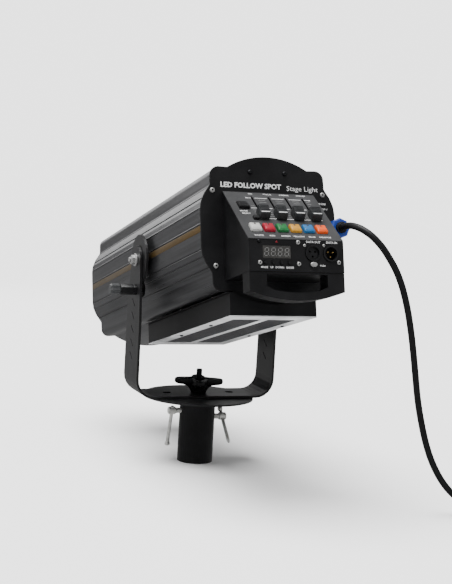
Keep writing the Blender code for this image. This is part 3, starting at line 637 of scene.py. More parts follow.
# %% Screw heads
def screw_mesh():
    """A domed screw head of unit radius with a six-sided socket in its crown."""
    bm = bmesh.new()
    steps = 18
    side = math.pi / 6
    profile = [(1.0, 0.0), (1.0, 0.18), (0.93, 0.36), (0.78, 0.50), (0.55, 0.58)]
    rings = []
    for radius, height in profile:
        ring = []
        for i in range(steps):
            a = 2 * math.pi * i / steps
            ring.append(bm.verts.new((radius * math.cos(a), radius * math.sin(a), height)))
        rings.append(ring)
    for height, wide in ((0.58, 0.44), (0.18, 0.40)):
        ring = []
        for i in range(steps):
            a = 2 * math.pi * i / steps
            reach = wide * math.cos(side) / math.cos((a % (2 * side)) - side)
            ring.append(bm.verts.new((reach * math.cos(a), reach * math.sin(a), height)))
        rings.append(ring)
    stack_of(bm, rings)
    return mesh_from(bm, "screw head")


SCREW = screw_mesh()
# A black plug that fills the key socket of a screw head: painted shade in the hole.
SOCKET_SHADE_PLUG = lathe_mesh([(0, 0.50), (0.43, 0.50), (0.43, 0.12), (0, 0.12)], 6)
print("screw head faces", len(SCREW.polygons))

# %% [markdown]
# ## The extruded housing
#
# The head is closed by two aluminium extrusions that meet along the middle of each side. Their
# section follows a rule: shallow arcs, a round lobe at each corner and fine grooves along the
# flanks. It is drawn once as an outline, thinned at each groove, and pulled along the head.

# %% Housing section
ARC_R = 123 * MM
SIDE_X = 107 * MM
TOP_Z = 112 * MM
MID_Z = 2 * MM
SHELL_T = 2.2 * MM
PLATE_T = 3 * MM
GAP = 0.4 * MM
GROOVES = {
    True: (63 * MM, 45.5 * MM, 29.5 * MM, 5.4 * MM),
    False: (58 * MM, 42 * MM, 31 * MM),
}
GROOVE_WIDE = 0.9 * MM
GROOVE_DEEP = 1.1 * MM
LIP = 0.35 * MM


def quarter_outline(grow=0.0):
    """One quarter of the section, from the top middle to the side middle, finely stepped."""
    lobe_r = 12.5 * MM + grow
    lobe = Vector((78 * MM, TOP_Z - 30 * MM - MID_Z))
    arc_centre = TOP_Z - MID_Z - ARC_R
    top = []
    for i in range(25):
        x = 64.5 * MM * i / 24
        top.append(Vector((x, arc_centre + math.sqrt((ARC_R + grow) ** 2 - x * x))))
    corner = []
    for i in range(15):
        angle = math.radians(92 - 94 * i / 14)
        corner.append(lobe + lobe_r * Vector((math.cos(angle), math.sin(angle))))
    coarse = [
        corner[-1],
        Vector((SIDE_X - 16.0 * MM + grow, 65.5 * MM)),
        Vector((SIDE_X - 7.0 * MM + grow, 52.5 * MM)),
        Vector((SIDE_X - 1.6 * MM + grow, 40.0 * MM)),
        Vector((SIDE_X + grow, 29.0 * MM)),
        Vector((SIDE_X + grow, 0.0)),
    ]
    side = []
    for a, b in zip(coarse, coarse[1:]):
        count = max(1, round((b - a).length / (0.4 * MM)))
        side += [a.lerp(b, (k + 1) / count) for k in range(count)]
    return top + corner + side


def flank_depth(z, upper):
    """How far a groove cuts in at this height from the seam, with a small lip above it."""
    depth = 0.0
    for groove in GROOVES[upper]:
        depth += GROOVE_DEEP * max(0.0, 1 - abs(z - groove) / GROOVE_WIDE)
        depth -= LIP * max(0.0, 1 - abs(z - groove - 2 * GROOVE_WIDE) / GROOVE_WIDE)
    return depth


print("points in a quarter of the section", len(quarter_outline()))


# %% The two shells
def shell_mesh(upper):
    outer = quarter_outline()
    inner = []
    for point in outer:
        towards = Vector((-point.x, -point.y)).normalized()
        inner.append(point + towards * SHELL_T * 1.15)
    outer = [
        p - Vector((flank_depth(p.y, upper), 0)) if p.x > SIDE_X - 22 * MM else p for p in outer
    ]
    sign = 1 if upper else -1

    def whole(points):
        right = [(p.x, p.y) for p in points]
        left = [(-x, z) for x, z in reversed(right[1:])]
        return [(x, MID_Z + sign * max(z, 0.2 * MM)) for x, z in left + right]

    bm = bmesh.new()
    rows = []
    for y in (REAR_Y + PLATE_T + GAP, FRONT_Y - PLATE_T - GAP):
        rows.append([[bm.verts.new((x, y, z)) for x, z in whole(line)] for line in (outer, inner)])
    count = len(rows[0][0])
    for i in range(count - 1):
        for line in (0, 1):
            a, b = rows[0][line], rows[1][line]
            bm.faces.new((a[i], a[i + 1], b[i + 1], b[i]))
        for row in rows:
            bm.faces.new((row[0][i], row[0][i + 1], row[1][i + 1], row[1][i]))
    for i in (0, count - 1):
        bm.faces.new((rows[0][0][i], rows[1][0][i], rows[1][1][i], rows[0][1][i]))
    return mesh_from(bm, "shell")


for upper, node in ((True, "upper_shell"), (False, "lower_shell")):
    skin = shell_mesh(upper)
    shell = piece(
        node + "_skin", skin, ANODISED, "head", HEAD, "dark_anodised", sharp=24, stands_for=[node]
    )
print("shell faces", len(shell.data.polygons))

# %% [markdown]
# ## The stripes
#
# A narrow gold band runs along the seam on each side. On the real housing it is a flat bar
# let into the extrusion. Here it is a long thin box, a quarter of a millimetre proud, in the
# same drawn metal as the housing with a warmer colour.

# %% The stripes along the flanks
SIDES = {"left": -1, "right": 1}
STRIPE = drawn_aluminium(
    "gold anodised stripe", (0.070, 0.042, 0.012), (0.115, 0.072, 0.024), 0.36, 0.75
)
for word, side in SIDES.items():
    inner = (side * (SIDE_X - 0.3 * MM), REAR_Y + 4 * MM, -3.2 * MM)
    outer = (side * (SIDE_X + 0.28 * MM), FRONT_Y - 4 * MM, 6.4 * MM)
    band = box_between(inner, outer, 0.12 * MM)
    piece(f"flank_stripe_{word}", band, STRIPE, "head", HEAD, "dark_anodised")
print("stripes", len(SIDES))

# %% [markdown]
# ## The end plates
#
# The rear plate is laser-cut sheet to the outline of the housing, a little larger all round,
# with its edges broken. Two rings of the outline, one drawn in, make the broken edge. The
# front plate is a little smaller than the housing, and the lens barrel slides through it.

# %% End plates
EDGE_BREAK = 0.7 * MM
BARREL_R = 78 * MM
BARREL_HOLE = BARREL_R + 0.8 * MM


def plate_outline(grow):
    quarter = quarter_outline(grow)
    quarter = quarter[:40] + quarter[40::8] + [quarter[-1]]
    right = [(p.x, p.y) for p in quarter] + [(p.x, -p.y) for p in reversed(quarter[:-1])]
    left = [(-x, z) for x, z in reversed(right[1:-1])]
    return [(x, z + MID_Z) for x, z in right + left]


def plate_mesh(y_out, y_in, grow, hole=0.0):
    """A plate with its outer edge broken, between two levels of y, and a round hole if asked."""
    step = EDGE_BREAK * (1 if y_in > y_out else -1)
    bm = bmesh.new()
    rings = []
    for y, size in ((y_out, grow - EDGE_BREAK), (y_out + step, grow), (y_in, grow)):
        rings.append([bm.verts.new((x, y, z)) for x, z in plate_outline(size)])
    if hole:
        angles = [math.atan2(z, x) for x, z in plate_outline(grow)]
        round_edge = [(hole * math.cos(a), hole * math.sin(a)) for a in angles]
        for y in (y_in, y_out):
            rings.append([bm.verts.new((x, y, z)) for x, z in round_edge])
        rings.append(rings[0])
    for one, two in zip(rings, rings[1:]):
        close_loop(bm, one, two)
    if not hole:
        bm.faces.new(rings[0])
        bm.faces.new(rings[-1])
    return mesh_from(bm, "plate")


PLATES = {
    "rear_plate": plate_mesh(REAR_Y, REAR_Y + PLATE_T, 1.5 * MM),
    "front_plate": plate_mesh(FRONT_Y, FRONT_Y - PLATE_T, -0.2 * MM, BARREL_HOLE),
}
for node, plate in PLATES.items():
    skin = node + "_skin"
    piece(skin, plate, POWDER, "head", HEAD, "black_powder_coat", stands_for=[node])
    print(node, "faces", len(plate.polygons))

# %% [markdown]
# ## Screws
#
# The plate, the console and the sockets are held by domed screws, some bright and some
# blackened. One pattern and a list of places in millimetres make each group, and a black
# six-sided plug fills each crown's key socket as painted shade, so it shows as a dark hole.

# %% Screws of the rear plate and the console
PLATE_SCREWS = [(-89, 59), (89, 59), (-87, -54), (87, -54)]
DARK_SCREWS = [(-28, 89), (28, 89)]
FACE_SCREWS = [(2.3, -33.6), (-57.1, -63.8), (2.5, -64.7), (65.1, -61.2)]
FACE_DARK = [(-57.4, -33.4)]
XLR_SCREWS = [(12.2, -38.0), (42.3, -37.1)]
INLET_SCREWS = [(98.5, 12.5), (81.5, -16.5)]


STEEL_SLOT = {BRIGHT: "bright_steel", BLACKENED: "blackened_steel"}


def screws(name, places, radius, material, carry, body="head", flat=1.0):
    """Screws of a radius at places on a face; a flat one has no socket."""
    points = [(x * MM, z * MM, 0) for x, z in places]
    size = radius * MM
    squeeze = [(1, 1, flat)] * len(points)
    repeat(name, SCREW, points, material, body, carry, STEEL_SLOT[material], size, squeeze, 0.7)
    if flat == 1.0:
        # A screw with a socket gets the black plug, painted shade in its key hole.
        inside = (points, BLACK_PLASTIC, body, carry, "blackened_steel", size)
        repeat(name + "_sockets", SOCKET_SHADE_PLUG, *inside, spin=0.7)


screws("rear_plate_screws", PLATE_SCREWS, 3.9, BRIGHT, PLATE_FACE)
screws("rear_plate_dark_screws", DARK_SCREWS, 3.7, BLACKENED, PLATE_FACE)
screws("console_screws", FACE_SCREWS, 3.1, BRIGHT, CONSOLE_FACE)
screws("console_dark_screws", FACE_DARK, 3.0, BLACKENED, CONSOLE_FACE)
screws("connector_screws", XLR_SCREWS, 2.2, BRIGHT, CONSOLE_FACE)
screws("inlet_screws", INLET_SCREWS, 1.9, BRIGHT, PLATE_FACE)
print("screws placed")

# %% [markdown]
# ## Print on the faces
#
# The real console carries white screen print. The words here are plain working words: what a
# slider does, the colour of a button, which socket is which. Text is a curve object at first;
# it is made a mesh, joined with its neighbours and carried to its face.


# %% Print helpers
def text_mesh(words, size, wide=1.0, bold=0.0):
    data = bpy.data.curves.new("words", "FONT")
    data.body = words
    data.size = size
    data.align_x = "CENTER"
    data.align_y = "CENTER"
    data.extrude = 0.04 * MM
    data.offset = bold
    data.resolution_u = 2
    host = bpy.data.objects.new("words", data)
    bpy.context.scene.collection.objects.link(host)
    graph = bpy.context.evaluated_depsgraph_get()
    mesh = bpy.data.meshes.new_from_object(host.evaluated_get(graph))
    bpy.data.objects.remove(host)
    mesh.transform(Matrix.Diagonal((wide, 1, 1, 1)))
    return mesh


def printed(name, words, carry):
    """Several words, each (text, x, y, height, bold, width), as one piece of print."""
    bm = bmesh.new()
    for text, x, y, size, bold, *wide in words:
        mesh = text_mesh(text, size * MM, (wide or [1.0])[0], bold * MM)
        mesh.transform(Matrix.Translation((x * MM, y * MM, 0.05 * MM)))
        bm.from_mesh(mesh)
    piece(name, mesh_from(bm, name), WHITE_PRINT, "head", carry, "white_plastic", sharp=None)


BUTTON_X = [-54.6 + 20.5 * i for i in range(6)]
FADER_FIRST = -31.9
FADER_PITCH = 27.3
FADER_X = [FADER_FIRST + FADER_PITCH * i for i in range(4)]
FADER_WORDS = ["IRIS", "FOCUS", "DIMMER", "STROBE"]
panel_words = [(name.upper(), x, -123.5, 4.6, 0.05) for name, x in zip(BUTTON_COLOURS, BUTTON_X)]
panel_words += [(word, x + 0.5, -7.0, 4.2, 0.03) for word, x in zip(FADER_WORDS, FADER_X)]
panel_words += [
    ("MODE", -57.0, -57.5, 4.2, 0.05),
    ("SELECT", -55.0, -64.0, 4.2, 0.05),
    ("10", -41.0, -19.0, 4.0, 0.03),
    ("10", 60.0, -19.5, 4.0, 0.03),
]
face_words = [
    ("DATA OUT", 26.0, -32.6, 4.4, 0.04),
    ("DATA IN", 55.0, -32.6, 4.4, 0.04),
    ("MODE   UP   DOWN   ENTER", -30.8, -70.5, 3.9, 0.04),
    ("PUSH", 39.5, -66.5, 3.4, 0.03),
]
plate_words = [
    ("LED FOLLOW SPOT", -27.5, 68.0, 10.4, 0.38, 1.06),
    ("Stage Light", 56.0, 66.5, 10.6, -0.03, 1.12),
    ("MAINS", 88.0, 45.0, 4.4, 0.02),
    ("230 V", 92.0, 37.0, 4.0, 0.02),
]
printed("panel_print", panel_words, PANEL)
printed("console_print", face_words, CONSOLE_FACE)
printed("plate_print", plate_words, PLATE_FACE)
print("words printed")

# %% [markdown]
# ## The scales
#
# A printed scale stands between the sliders: eleven rows, of which the first, the middle and
# the last are long white lines and the rest are short grey ticks. Every mark is the same unit
# box, stretched by an attribute of its point.

# %% Scale marks beside the sliders
BAR = box_mesh((-0.5, -0.5, 0), (0.5, 0.5, 1))
SCALE_TOP = 19.0
SCALE_STEP = 5.74
EDGE_SHIFT = {0: 7.5, 4: -7.0}


def scale_marks(main):
    """Places and sizes of the main lines, or of the ticks between them."""
    places, sizes = [], []
    for column in range(5):
        at_edge = column in EDGE_SHIFT
        x = FADER_FIRST + FADER_PITCH * (column - 0.5) + EDGE_SHIFT.get(column, 0)
        for row in range(11):
            beside_rocker = column == 0 and 4 > row > 0
            if beside_rocker or main != (row in (0, 5, 10)):
                continue
            length = (9.0 if at_edge else 19.5) if main else (6.0 if at_edge else 11.0)
            places.append((x * MM, -(SCALE_TOP + SCALE_STEP * row) * MM, 0))
            sizes.append((length * MM, (0.95 if main else 0.55) * MM, 0.06 * MM))
    return places, sizes


for name, main, ink in (("scale_lines", True, WHITE_PRINT), ("scale_ticks", False, GREY_PRINT)):
    places, sizes = scale_marks(main)
    repeat(name, BAR, places, ink, "head", PANEL, "white_plastic", stretches=sizes)
    print(name, len(places))

# %% [markdown]
# ## Sliders, buttons and switches
#
# A slider cap is one profile pulled across: a block at the front to push against, a white
# pointer line, and a ridged slope behind it. Each cap rides on its own slide joint.


# %% Slider caps
def profile_mesh(points, half, bevel):
    """A side profile of (y, z) pulled across x from -half to half, its ends' edges broken."""
    bm = bmesh.new()
    ends = [[bm.verts.new((x, y, z)) for y, z in points] for x in (-half, half)]
    bm.faces.new(ends[0])
    bm.faces.new(ends[1][::-1])
    for i in range(len(points)):
        j = (i + 1) % len(points)
        bm.faces.new((ends[0][i], ends[1][i], ends[1][j], ends[0][j]))
    rim = [edge for edge in bm.edges if edge.verts[0].co.x == edge.verts[1].co.x]
    bmesh.ops.bevel(bm, geom=rim, offset=bevel, segments=2, affect="EDGES", profile=0.6)
    return mesh_from(bm, "profile")


def slider_profile():
    points = [(-9.5, 1.2), (-9.3, 11.0), (-8.4, 12.0), (-3.2, 12.3), (-2.0, 12.0)]
    for i in range(4):
        y = -1.6 + 2.5 * i
        low = 11.7 + 0.75 * i
        points += [(y, low - 0.5), (y + 0.3, low + 1.1), (y + 1.5, low + 1.5), (y + 1.9, low)]
    points += [(9.3, 13.4), (9.5, 1.2)]
    return [(y * MM, z * MM) for y, z in points]


FADER_REST = 70 * MM
for number, x in enumerate(FADER_X, 1):
    carry = PANEL @ Matrix.Translation((x * MM, -FADER_REST, 0))
    fader = f"fader_{number}"
    stem = box_mesh((-1.1 * MM, -7.5 * MM, -9 * MM), (1.1 * MM, -1.5 * MM, 1.4 * MM), 0.1 * MM)
    bm = bmesh.new()
    bm.from_mesh(profile_mesh(slider_profile(), 7.8 * MM, 0.35 * MM))
    bm.from_mesh(stem)
    cap = mesh_from(bm, "cap")
    piece(
        f"slider_cap_{number}", cap, GREY_PLASTIC, fader, carry, "grey_plastic", 18, stands_for=[fader]
    )
    line = box_mesh((-6.4 * MM, -7.9 * MM, 11.6 * MM), (6.4 * MM, -6.5 * MM, 12.4 * MM), 0.05 * MM)
    piece(f"slider_line_{number}", line, WHITE_PRINT, fader, carry, "white_plastic")
print("sliders", len(FADER_X))

# %% [markdown]
# ## Colour buttons
#
# Each colour button is a soft-edged block of tinted plastic with a sloped lower edge, and a
# small lamp window near its top that is dark when off.


# %% Colour buttons
def button_mesh(side, high):
    half = side / 2
    bm = bmesh.new()
    levels = [(-7 * MM, half, 0), (high - 1.9 * MM, half, 0), (high, half - 1.3 * MM, 2.1 * MM)]
    rings = []
    for z, reach, lift in levels:
        low = -reach + lift
        corners = [(-reach, low, z), (reach, low, z), (reach, reach, z), (-reach, reach, z)]
        rings.append([bm.verts.new(corner) for corner in corners])
    stack_of(bm, rings)
    bmesh.ops.bevel(bm, geom=bm.edges[:], offset=0.5 * MM, segments=3, affect="EDGES", profile=0.5)
    return mesh_from(bm, "button")


BUTTON_TOP = 5.5 * MM
LAMP = moulded("unlit lamp", (0.012, 0.003, 0.003), 0.3, 0.1, gloss=0.2)
for name, x in zip(BUTTON_COLOURS, BUTTON_X):
    button = f"{name}_button"
    carry = PANEL @ Matrix.Translation((x * MM, -105 * MM, 0))
    cap = button_mesh(16 * MM, BUTTON_TOP)
    finish = BUTTON_FINISH[name]
    piece(f"{name}_cap", cap, finish, button, carry, f"{name}_plastic", stands_for=[button])
    dot = lathe_mm([(0, 0.5), (1.1, 0.42), (1.75, 0.05), (1.75, -1), (0, -1)], 16)
    window = carry @ Matrix.Translation((-0.6 * MM, 4.2 * MM, BUTTON_TOP))
    piece(f"{name}_lamp", dot, LAMP, button, window, "black_plastic")
print("buttons", len(BUTTON_X))

# %% [markdown]
# ## Display and sockets
#
# Four seven-segment digits sit behind a grey window. Unlit, the segments still show as pale
# bars. The data sockets are round, one with three holes and one with three gold pins.

# %% Display
SEGMENT = 1.15 * MM
DIGIT_WIDE = 5.6 * MM
DIGIT_HIGH = 11.0 * MM
DISPLAY_X = -30.8 * MM
DISPLAY_Z = -48.1 * MM
DIGIT_X = [DISPLAY_X + (i - 1.5) * 10.3 * MM for i in range(4)]
DISPLAY_BACK = -0.28 * MM


def digit_mesh():
    """The seven bars of one digit, slanted as on a real display."""
    bm = bmesh.new()
    wide, high, bar = DIGIT_WIDE / 2, DIGIT_HIGH / 2, SEGMENT / 2
    level = [(0, y, wide - bar * 1.5, bar) for y in (high, 0, -high)]
    upright = [
        (x, y, bar, high / 2 - bar * 1.3) for y in (high / 2, -high / 2) for x in (-wide, wide)
    ]
    for x, y, half_x, half_y in level + upright:
        bm.from_mesh(
            box_mesh((x - half_x, y - half_y, 0), (x + half_x, y + half_y, 0.15 * MM))
        )
    for vertex in bm.verts:
        vertex.co.x += vertex.co.y * 0.14
    return mesh_from(bm, "digit")


SEGMENTS = moulded("unlit segments", (0.085, 0.085, 0.083), 0.35)
WINDOW = moulded("display window", (0.024, 0.0235, 0.0225), 0.25, 0.0, gloss=0.2)
dress("display_module", WINDOW)
digit_places = [(x, DISPLAY_Z, DISPLAY_BACK) for x in DIGIT_X]
point_places = [(x + 4.2 * MM, DISPLAY_Z - 5.5 * MM, DISPLAY_BACK) for x in DIGIT_X]
decimal_point = lathe_mm([(0, 0.15), (0.6, 0.15), (0.6, 0), (0, 0)], 10)
for name, pattern, places in (
    ("display_digits", digit_mesh(), digit_places),
    ("display_points", decimal_point, point_places),
):
    repeat(name, pattern, places, SEGMENTS, "head", CONSOLE_FACE, "display_grey")
print("display digits", len(digit_places))

# %% [markdown]
# ## Lamp, pins and latch
#
# Between the display and the sockets sit a small red signal lamp, three gold pins in the data
# input and the oval latch that frees a plug. The latch is a turned button, then squeezed to an
# oval. It rides on its own short slide.


# %% Signal lamp, gold pins and release latch
def triangle_mesh(size, high):
    bm = bmesh.new()
    corners = [(-size, -size * 0.6), (size, -size * 0.6), (0, size)]
    rings = []
    for share, z in ((1, 0), (1, high), (0.8, high * 1.3)):
        rings.append([bm.verts.new((x * share, y * share, z)) for x, y in corners])
    stack_of(bm, rings)
    return mesh_from(bm, "triangle")


def on_console(x, z):
    """A place on the console's face, in millimetres from its middle."""
    return CONSOLE_FACE @ Matrix.Translation((x * MM, z * MM, 0))


RED_LAMP = moulded("red lamp", (0.16, 0.004, 0.010), 0.3, 0.1)
signal = triangle_mesh(1.9 * MM, 0.5 * MM)
piece("signal_lamp", signal, RED_LAMP, "head", on_console(-30.9, -33.6), "red_plastic")
INPUT_X = 53 * MM
INPUT_Z = -48.5 * MM
PIN_CIRCLE = 4.6 * MM
pin_places = []
for turn in (30, 150, 270):
    angle = math.radians(turn)
    pin_x = INPUT_X + PIN_CIRCLE * math.cos(angle)
    pin_places.append((pin_x, INPUT_Z + PIN_CIRCLE * math.sin(angle), 0))
pin = lathe_mm([(0, -1.2), (0.8, -1.4), (1.45, -2.2), (1.45, -12.8), (0, -12.8)], 14)
repeat("data_pins", pin, pin_places, GOLD, "head", CONSOLE_FACE, "bright_steel")
oval = lathe_mesh([(0, 4.0), (0.55, 3.9), (0.86, 3.5), (1, 2.8), (1, 1.2), (0, 1.2)], 40)
oval.transform(Matrix.Diagonal((5.4 * MM, 3.4 * MM, MM, 1)))
place = on_console(25, -65.1)
latch = ("release_latch", oval, BRIGHT, "release_tab", place, "bright_steel")
piece(*latch, stands_for=["xlr_release_tab"])
print("console face dressed")

# %% [markdown]
# ## The mains connector
#
# A locking mains connector: a blue body with soft facets, a black gland the cable comes out
# of, and a pale latch on top. It is turned on a lathe profile whose radius varies a little
# with the angle, which gives the facets.

# %% Connector
INLET = Vector((90 * MM, REAR_Y, -2 * MM))
INLET_AXIS = HEAD @ Matrix.Translation(INLET) @ QUARTER


def facets(sides, depth):
    def shape(angle, radius):
        step = 2 * math.pi / sides
        return 1 - depth * (1 - abs((angle % step) / step * 2 - 1) ** 2)

    return shape


body_profile = [
    (8.7, 58.0),
    (13.2, 58.0),
    (15.4, 55.5),
    (15.6, 51.0),
    (15.6, 31.0),
    (14.0, 28.5),
    (12.6, 26.5),
    (12.6, 19.0),
    (13.4, 17.0),
    (13.4, 3.0),
    (10.6, 3.0),
    (10.6, -8.0),
    (0, -8.0),
    (0, 40.0),
    (8.7, 40.0),
]
gland_profile = [(0, 66.3), (5.9, 66.3), (6.6, 62.6), (8.5, 62.0), (8.5, 41.0), (0, 41.0)]
body_mesh = lathe_mm(body_profile, 96, facets(8, 0.08))
blue = ("connector_body", body_mesh, BLUE_PLASTIC, "head", INLET_AXIS, "blue_plastic")
piece(*blue, sharp=28, stands_for=["mains_connector"])
gland = lathe_mm(gland_profile, 48)
piece("connector_gland", gland, RUBBER, "head", INLET_AXIS, "black_rubber")
clip = box_mesh((-4.5 * MM, 11.8 * MM, 8 * MM), (4.5 * MM, 15.4 * MM, 26 * MM), 1.3 * MM, 3)
piece("connector_latch", clip, BEIGE_PLASTIC, "head", INLET_AXIS, "beige_plastic")
print("connector dressed")

# %% [markdown]
# ## The star knob
#
# The pan lock is a moulded star knob with four rounded arms. Its radius swells and shrinks
# four times round, and its section thins into a waist, so one lathe profile with a shape
# function gives the whole knob.

# %% Star knob
STRAP_TOP = 117.8 * MM
STUD_R = 4.8 * MM
KNOB_HUB = 0.50
KNOB_TURN = math.radians(15)
BORE = STUD_R / MM + 0.4


def lobes(angle, radius):
    arm = (0.5 + 0.5 * math.cos(4 * (angle + KNOB_TURN))) ** 1.4
    waist = KNOB_HUB + (1 - KNOB_HUB) * arm
    share = min(1.0, max(0.0, (radius / MM - 17) / 10))
    return 1.0 + (waist - 1.0) * share


knob_profile = [
    (BORE, 19.0),
    (11, 19.0),
    (15, 21.0),
    (20, 23.4),
    (27, 24.5),
    (34, 24.9),
    (38.5, 24.6),
    (40.6, 23.4),
    (41.4, 21.0),
    (41.3, 18.0),
    (40.0, 15.6),
    (37.0, 14.2),
    (30, 13.6),
    (25, 12.6),
    (19.5, 10.4),
    (16.0, 6.6),
    (14.0, 3.0),
    (13.2, 0.3),
    (BORE, 0.3),
]
on_strap = Matrix.Translation((0, 0, STRAP_TOP + 0.1 * MM))
star_mesh = lathe_mm(knob_profile, 128, lobes)
star = ("star_knob", star_mesh, BLACK_PLASTIC, "pan_knob", on_strap, "black_plastic")
piece(*star, sharp=50, stands_for=["pan_star_knob"])
print("star knob faces", len(star_mesh.polygons))

# %% [markdown]
# ## Tilt locks and pivots
#
# The head hangs between the arms on two bolts, each with a washer and a nut. Below each sits a
# tilt lock: a black six-sided grip with a clear grey end and a thin washer against the arm.
# All are turned, so one loop makes both sides from a table of profiles.

# %% Tilt locks and pivot bolts
YOKE_HALF = 122.3 * MM
TILT_KNOB = Vector((0, -9 * MM, PIVOT_Z - 48.5 * MM))
CLEAR_GREY = moulded("clear grey plastic", (0.024, 0.025, 0.026), 0.3, 0.0)
LOCK_PARTS = {
    "lock_grip": (
        [(8.9, 0.4), (8.9, 4.0), (8.3, 5.0), (8.9, 6.0), (8.9, 25.5), (8.2, 27.0)]
        + [(0, 27.0), (0, -10.8), (4, -10.8), (4, 0.4)],
        (96, facets(6, 0.10)), BLACK_PLASTIC, "black_plastic", 26,
    ),
    "lock_washer": (
        [(0, -10.6), (12, -10.6), (12, -12.4), (0, -12.4)],
        (40,), BLACKENED, "blackened_steel", 35,
    ),
    "lock_tip": (
        [(0, 27.2), (7.6, 27.2), (9.4, 29.5), (9.4, 42.0), (7.4, 45.0), (0, 45.0)],
        (96, facets(8, 0.12)), CLEAR_GREY, "grey_plastic", 26,
    ),
}
PIVOT_PARTS = {
    "pivot_nut": (
        [(0, 9.0), (6.4, 9.0), (7.9, 8.2), (7.9, 2.8), (0, 2.8)],
        (96, facets(6, 0.134)), BRIGHT, "bright_steel", 26,
    ),
    "pivot_washer": (
        [(0, 2.9), (9.8, 2.9), (10.5, 2.3), (10.5, 0.4), (0, 0.4)],
        (40,), BRIGHT, "bright_steel", 35,
    ),
    "pivot_shaft": (
        [(0, 12.0), (3.6, 12.0), (4.1, 11.4), (4.1, 8.0), (5.0, 8.0), (5.0, -14.5), (0, -14.5)],
        (32,), BRIGHT, "bright_steel", 35,
    ),
}
STANDS_FOR = {"lock_grip": "tilt_lock_knob", "pivot_shaft": "pivot_bolt"}


def on_arm(side, centre):
    """Z points outwards along the pivot axis, from the outer face of an arm."""
    return Matrix.Translation(centre + Vector((side * YOKE_HALF, 0, 0))) @ Matrix.Rotation(
        side * math.pi / 2, 4, "Y"
    )


for word, side in SIDES.items():
    for parts, centre, body in (
        (LOCK_PARTS, TILT_KNOB, f"tilt_knob_{word}"),
        (PIVOT_PARTS, Vector((0, 0, PIVOT_Z)), "yoke"),
    ):
        for name, (profile, turning, material, slot, sharp) in parts.items():
            stands_for = [f"{STANDS_FOR[name]}_{word}"] if name in STANDS_FOR else ()
            made = lathe_mm(profile, *turning)
            place = on_arm(side, centre)
            piece(f"{name}_{word}", made, material, body, place, slot, sharp, stands_for)
print("pivots dressed")

# %% [markdown]
# ## Under the head
#
# The pale cover has two long vents backed by dark mesh. The mesh is a row of thin bars behind
# each opening, placed by the repeating tree, over a dark sheet: partly the mesh's own dark
# colour, partly painted shade for the inside of the box seen between the bars. Small screws
# hold the cover and the flange of the box.

# %% Vents, flange and screws
VENT_REAR = -252 * MM
VENT_FRONT = 74 * MM
VENT_SPACE = 1 * MM
BAR_COUNT = 74
VENT_MESH_AND_SHADE = powder_coat("dark vent mesh", (0.008, 0.008, 0.009), 0.5)
MESH_BAR = powder_coat("grey vent mesh", (0.035, 0.035, 0.037), 0.45)
# The dark sheet behind the bars is partly the mesh's own colour, partly painted shade from inside the
# box.
for word, side in SIDES.items():
    near = (side * 4.2 * MM, VENT_REAR - VENT_SPACE, BOX_LOW + 2.2 * MM)
    far = (side * 51.8 * MM, VENT_FRONT + VENT_SPACE, BOX_LOW + 2.8 * MM)
    sheet = box_between(near, far, 0)
    piece(f"vent_sheet_{word}", sheet, VENT_MESH_AND_SHADE, "head", HEAD, "black_powder_coat")
step = (VENT_FRONT - VENT_REAR) / BAR_COUNT
bar_y = [-(VENT_REAR + step * (i + 0.5)) for i in range(BAR_COUNT)]
bar_places = [(side * 28 * MM, y, -0.9 * MM) for side in SIDES.values() for y in bar_y]
bar_sizes = [(46.6 * MM, 1.9 * MM, 0.5 * MM)] * len(bar_places)
bars = ("vent_bars", BAR, bar_places, MESH_BAR, "head", BOX_UNDER, "black_powder_coat")
repeat(*bars, stretches=bar_sizes)
cover_screws = [(x, y) for x in (-59.5, 59.5) for y in (38, 178)]
screws("cover_screws", cover_screws, 3.0, BLACKENED, BOX_UNDER)
RAIL_TOP = -93.2 * MM
for word, side in SIDES.items():
    inner = (side * BOX_HALF, -287 * MM, RAIL_TOP - 1.2 * MM)
    outer = (side * 74.0 * MM, 109 * MM, RAIL_TOP)
    rail = box_between(inner, outer, 0.3 * MM)
    piece(f"box_flange_{word}", rail, POWDER, "head", HEAD, "black_powder_coat")
    top = HEAD @ Matrix.Translation((side * 71.8 * MM, 0, RAIL_TOP))
    places = [(0, y) for y in (101, 78, -77, -225)]
    screws(f"flange_screws_{word}", places, 2.1, BRIGHT, top)
on_disc = Matrix.Translation((0, 0, 113.4 * MM))
screws("disc_screw", [(5, 73)], 2.6, BLACKENED, on_disc, "base", 0.12)
print("underside dressed")

# %% [markdown]
# ## The mains lead
#
# The lead leaves its connector on the side of the console, bends over under its own weight,
# hangs to the ground and runs out to a flat coil, where its plug lies. A three-core lead for
# such a lamp is about a metre and a half long and 10 mm thick, and it won't bend tighter than
# about 40 mm. It is a tube swept along a smooth curve through a few known points.

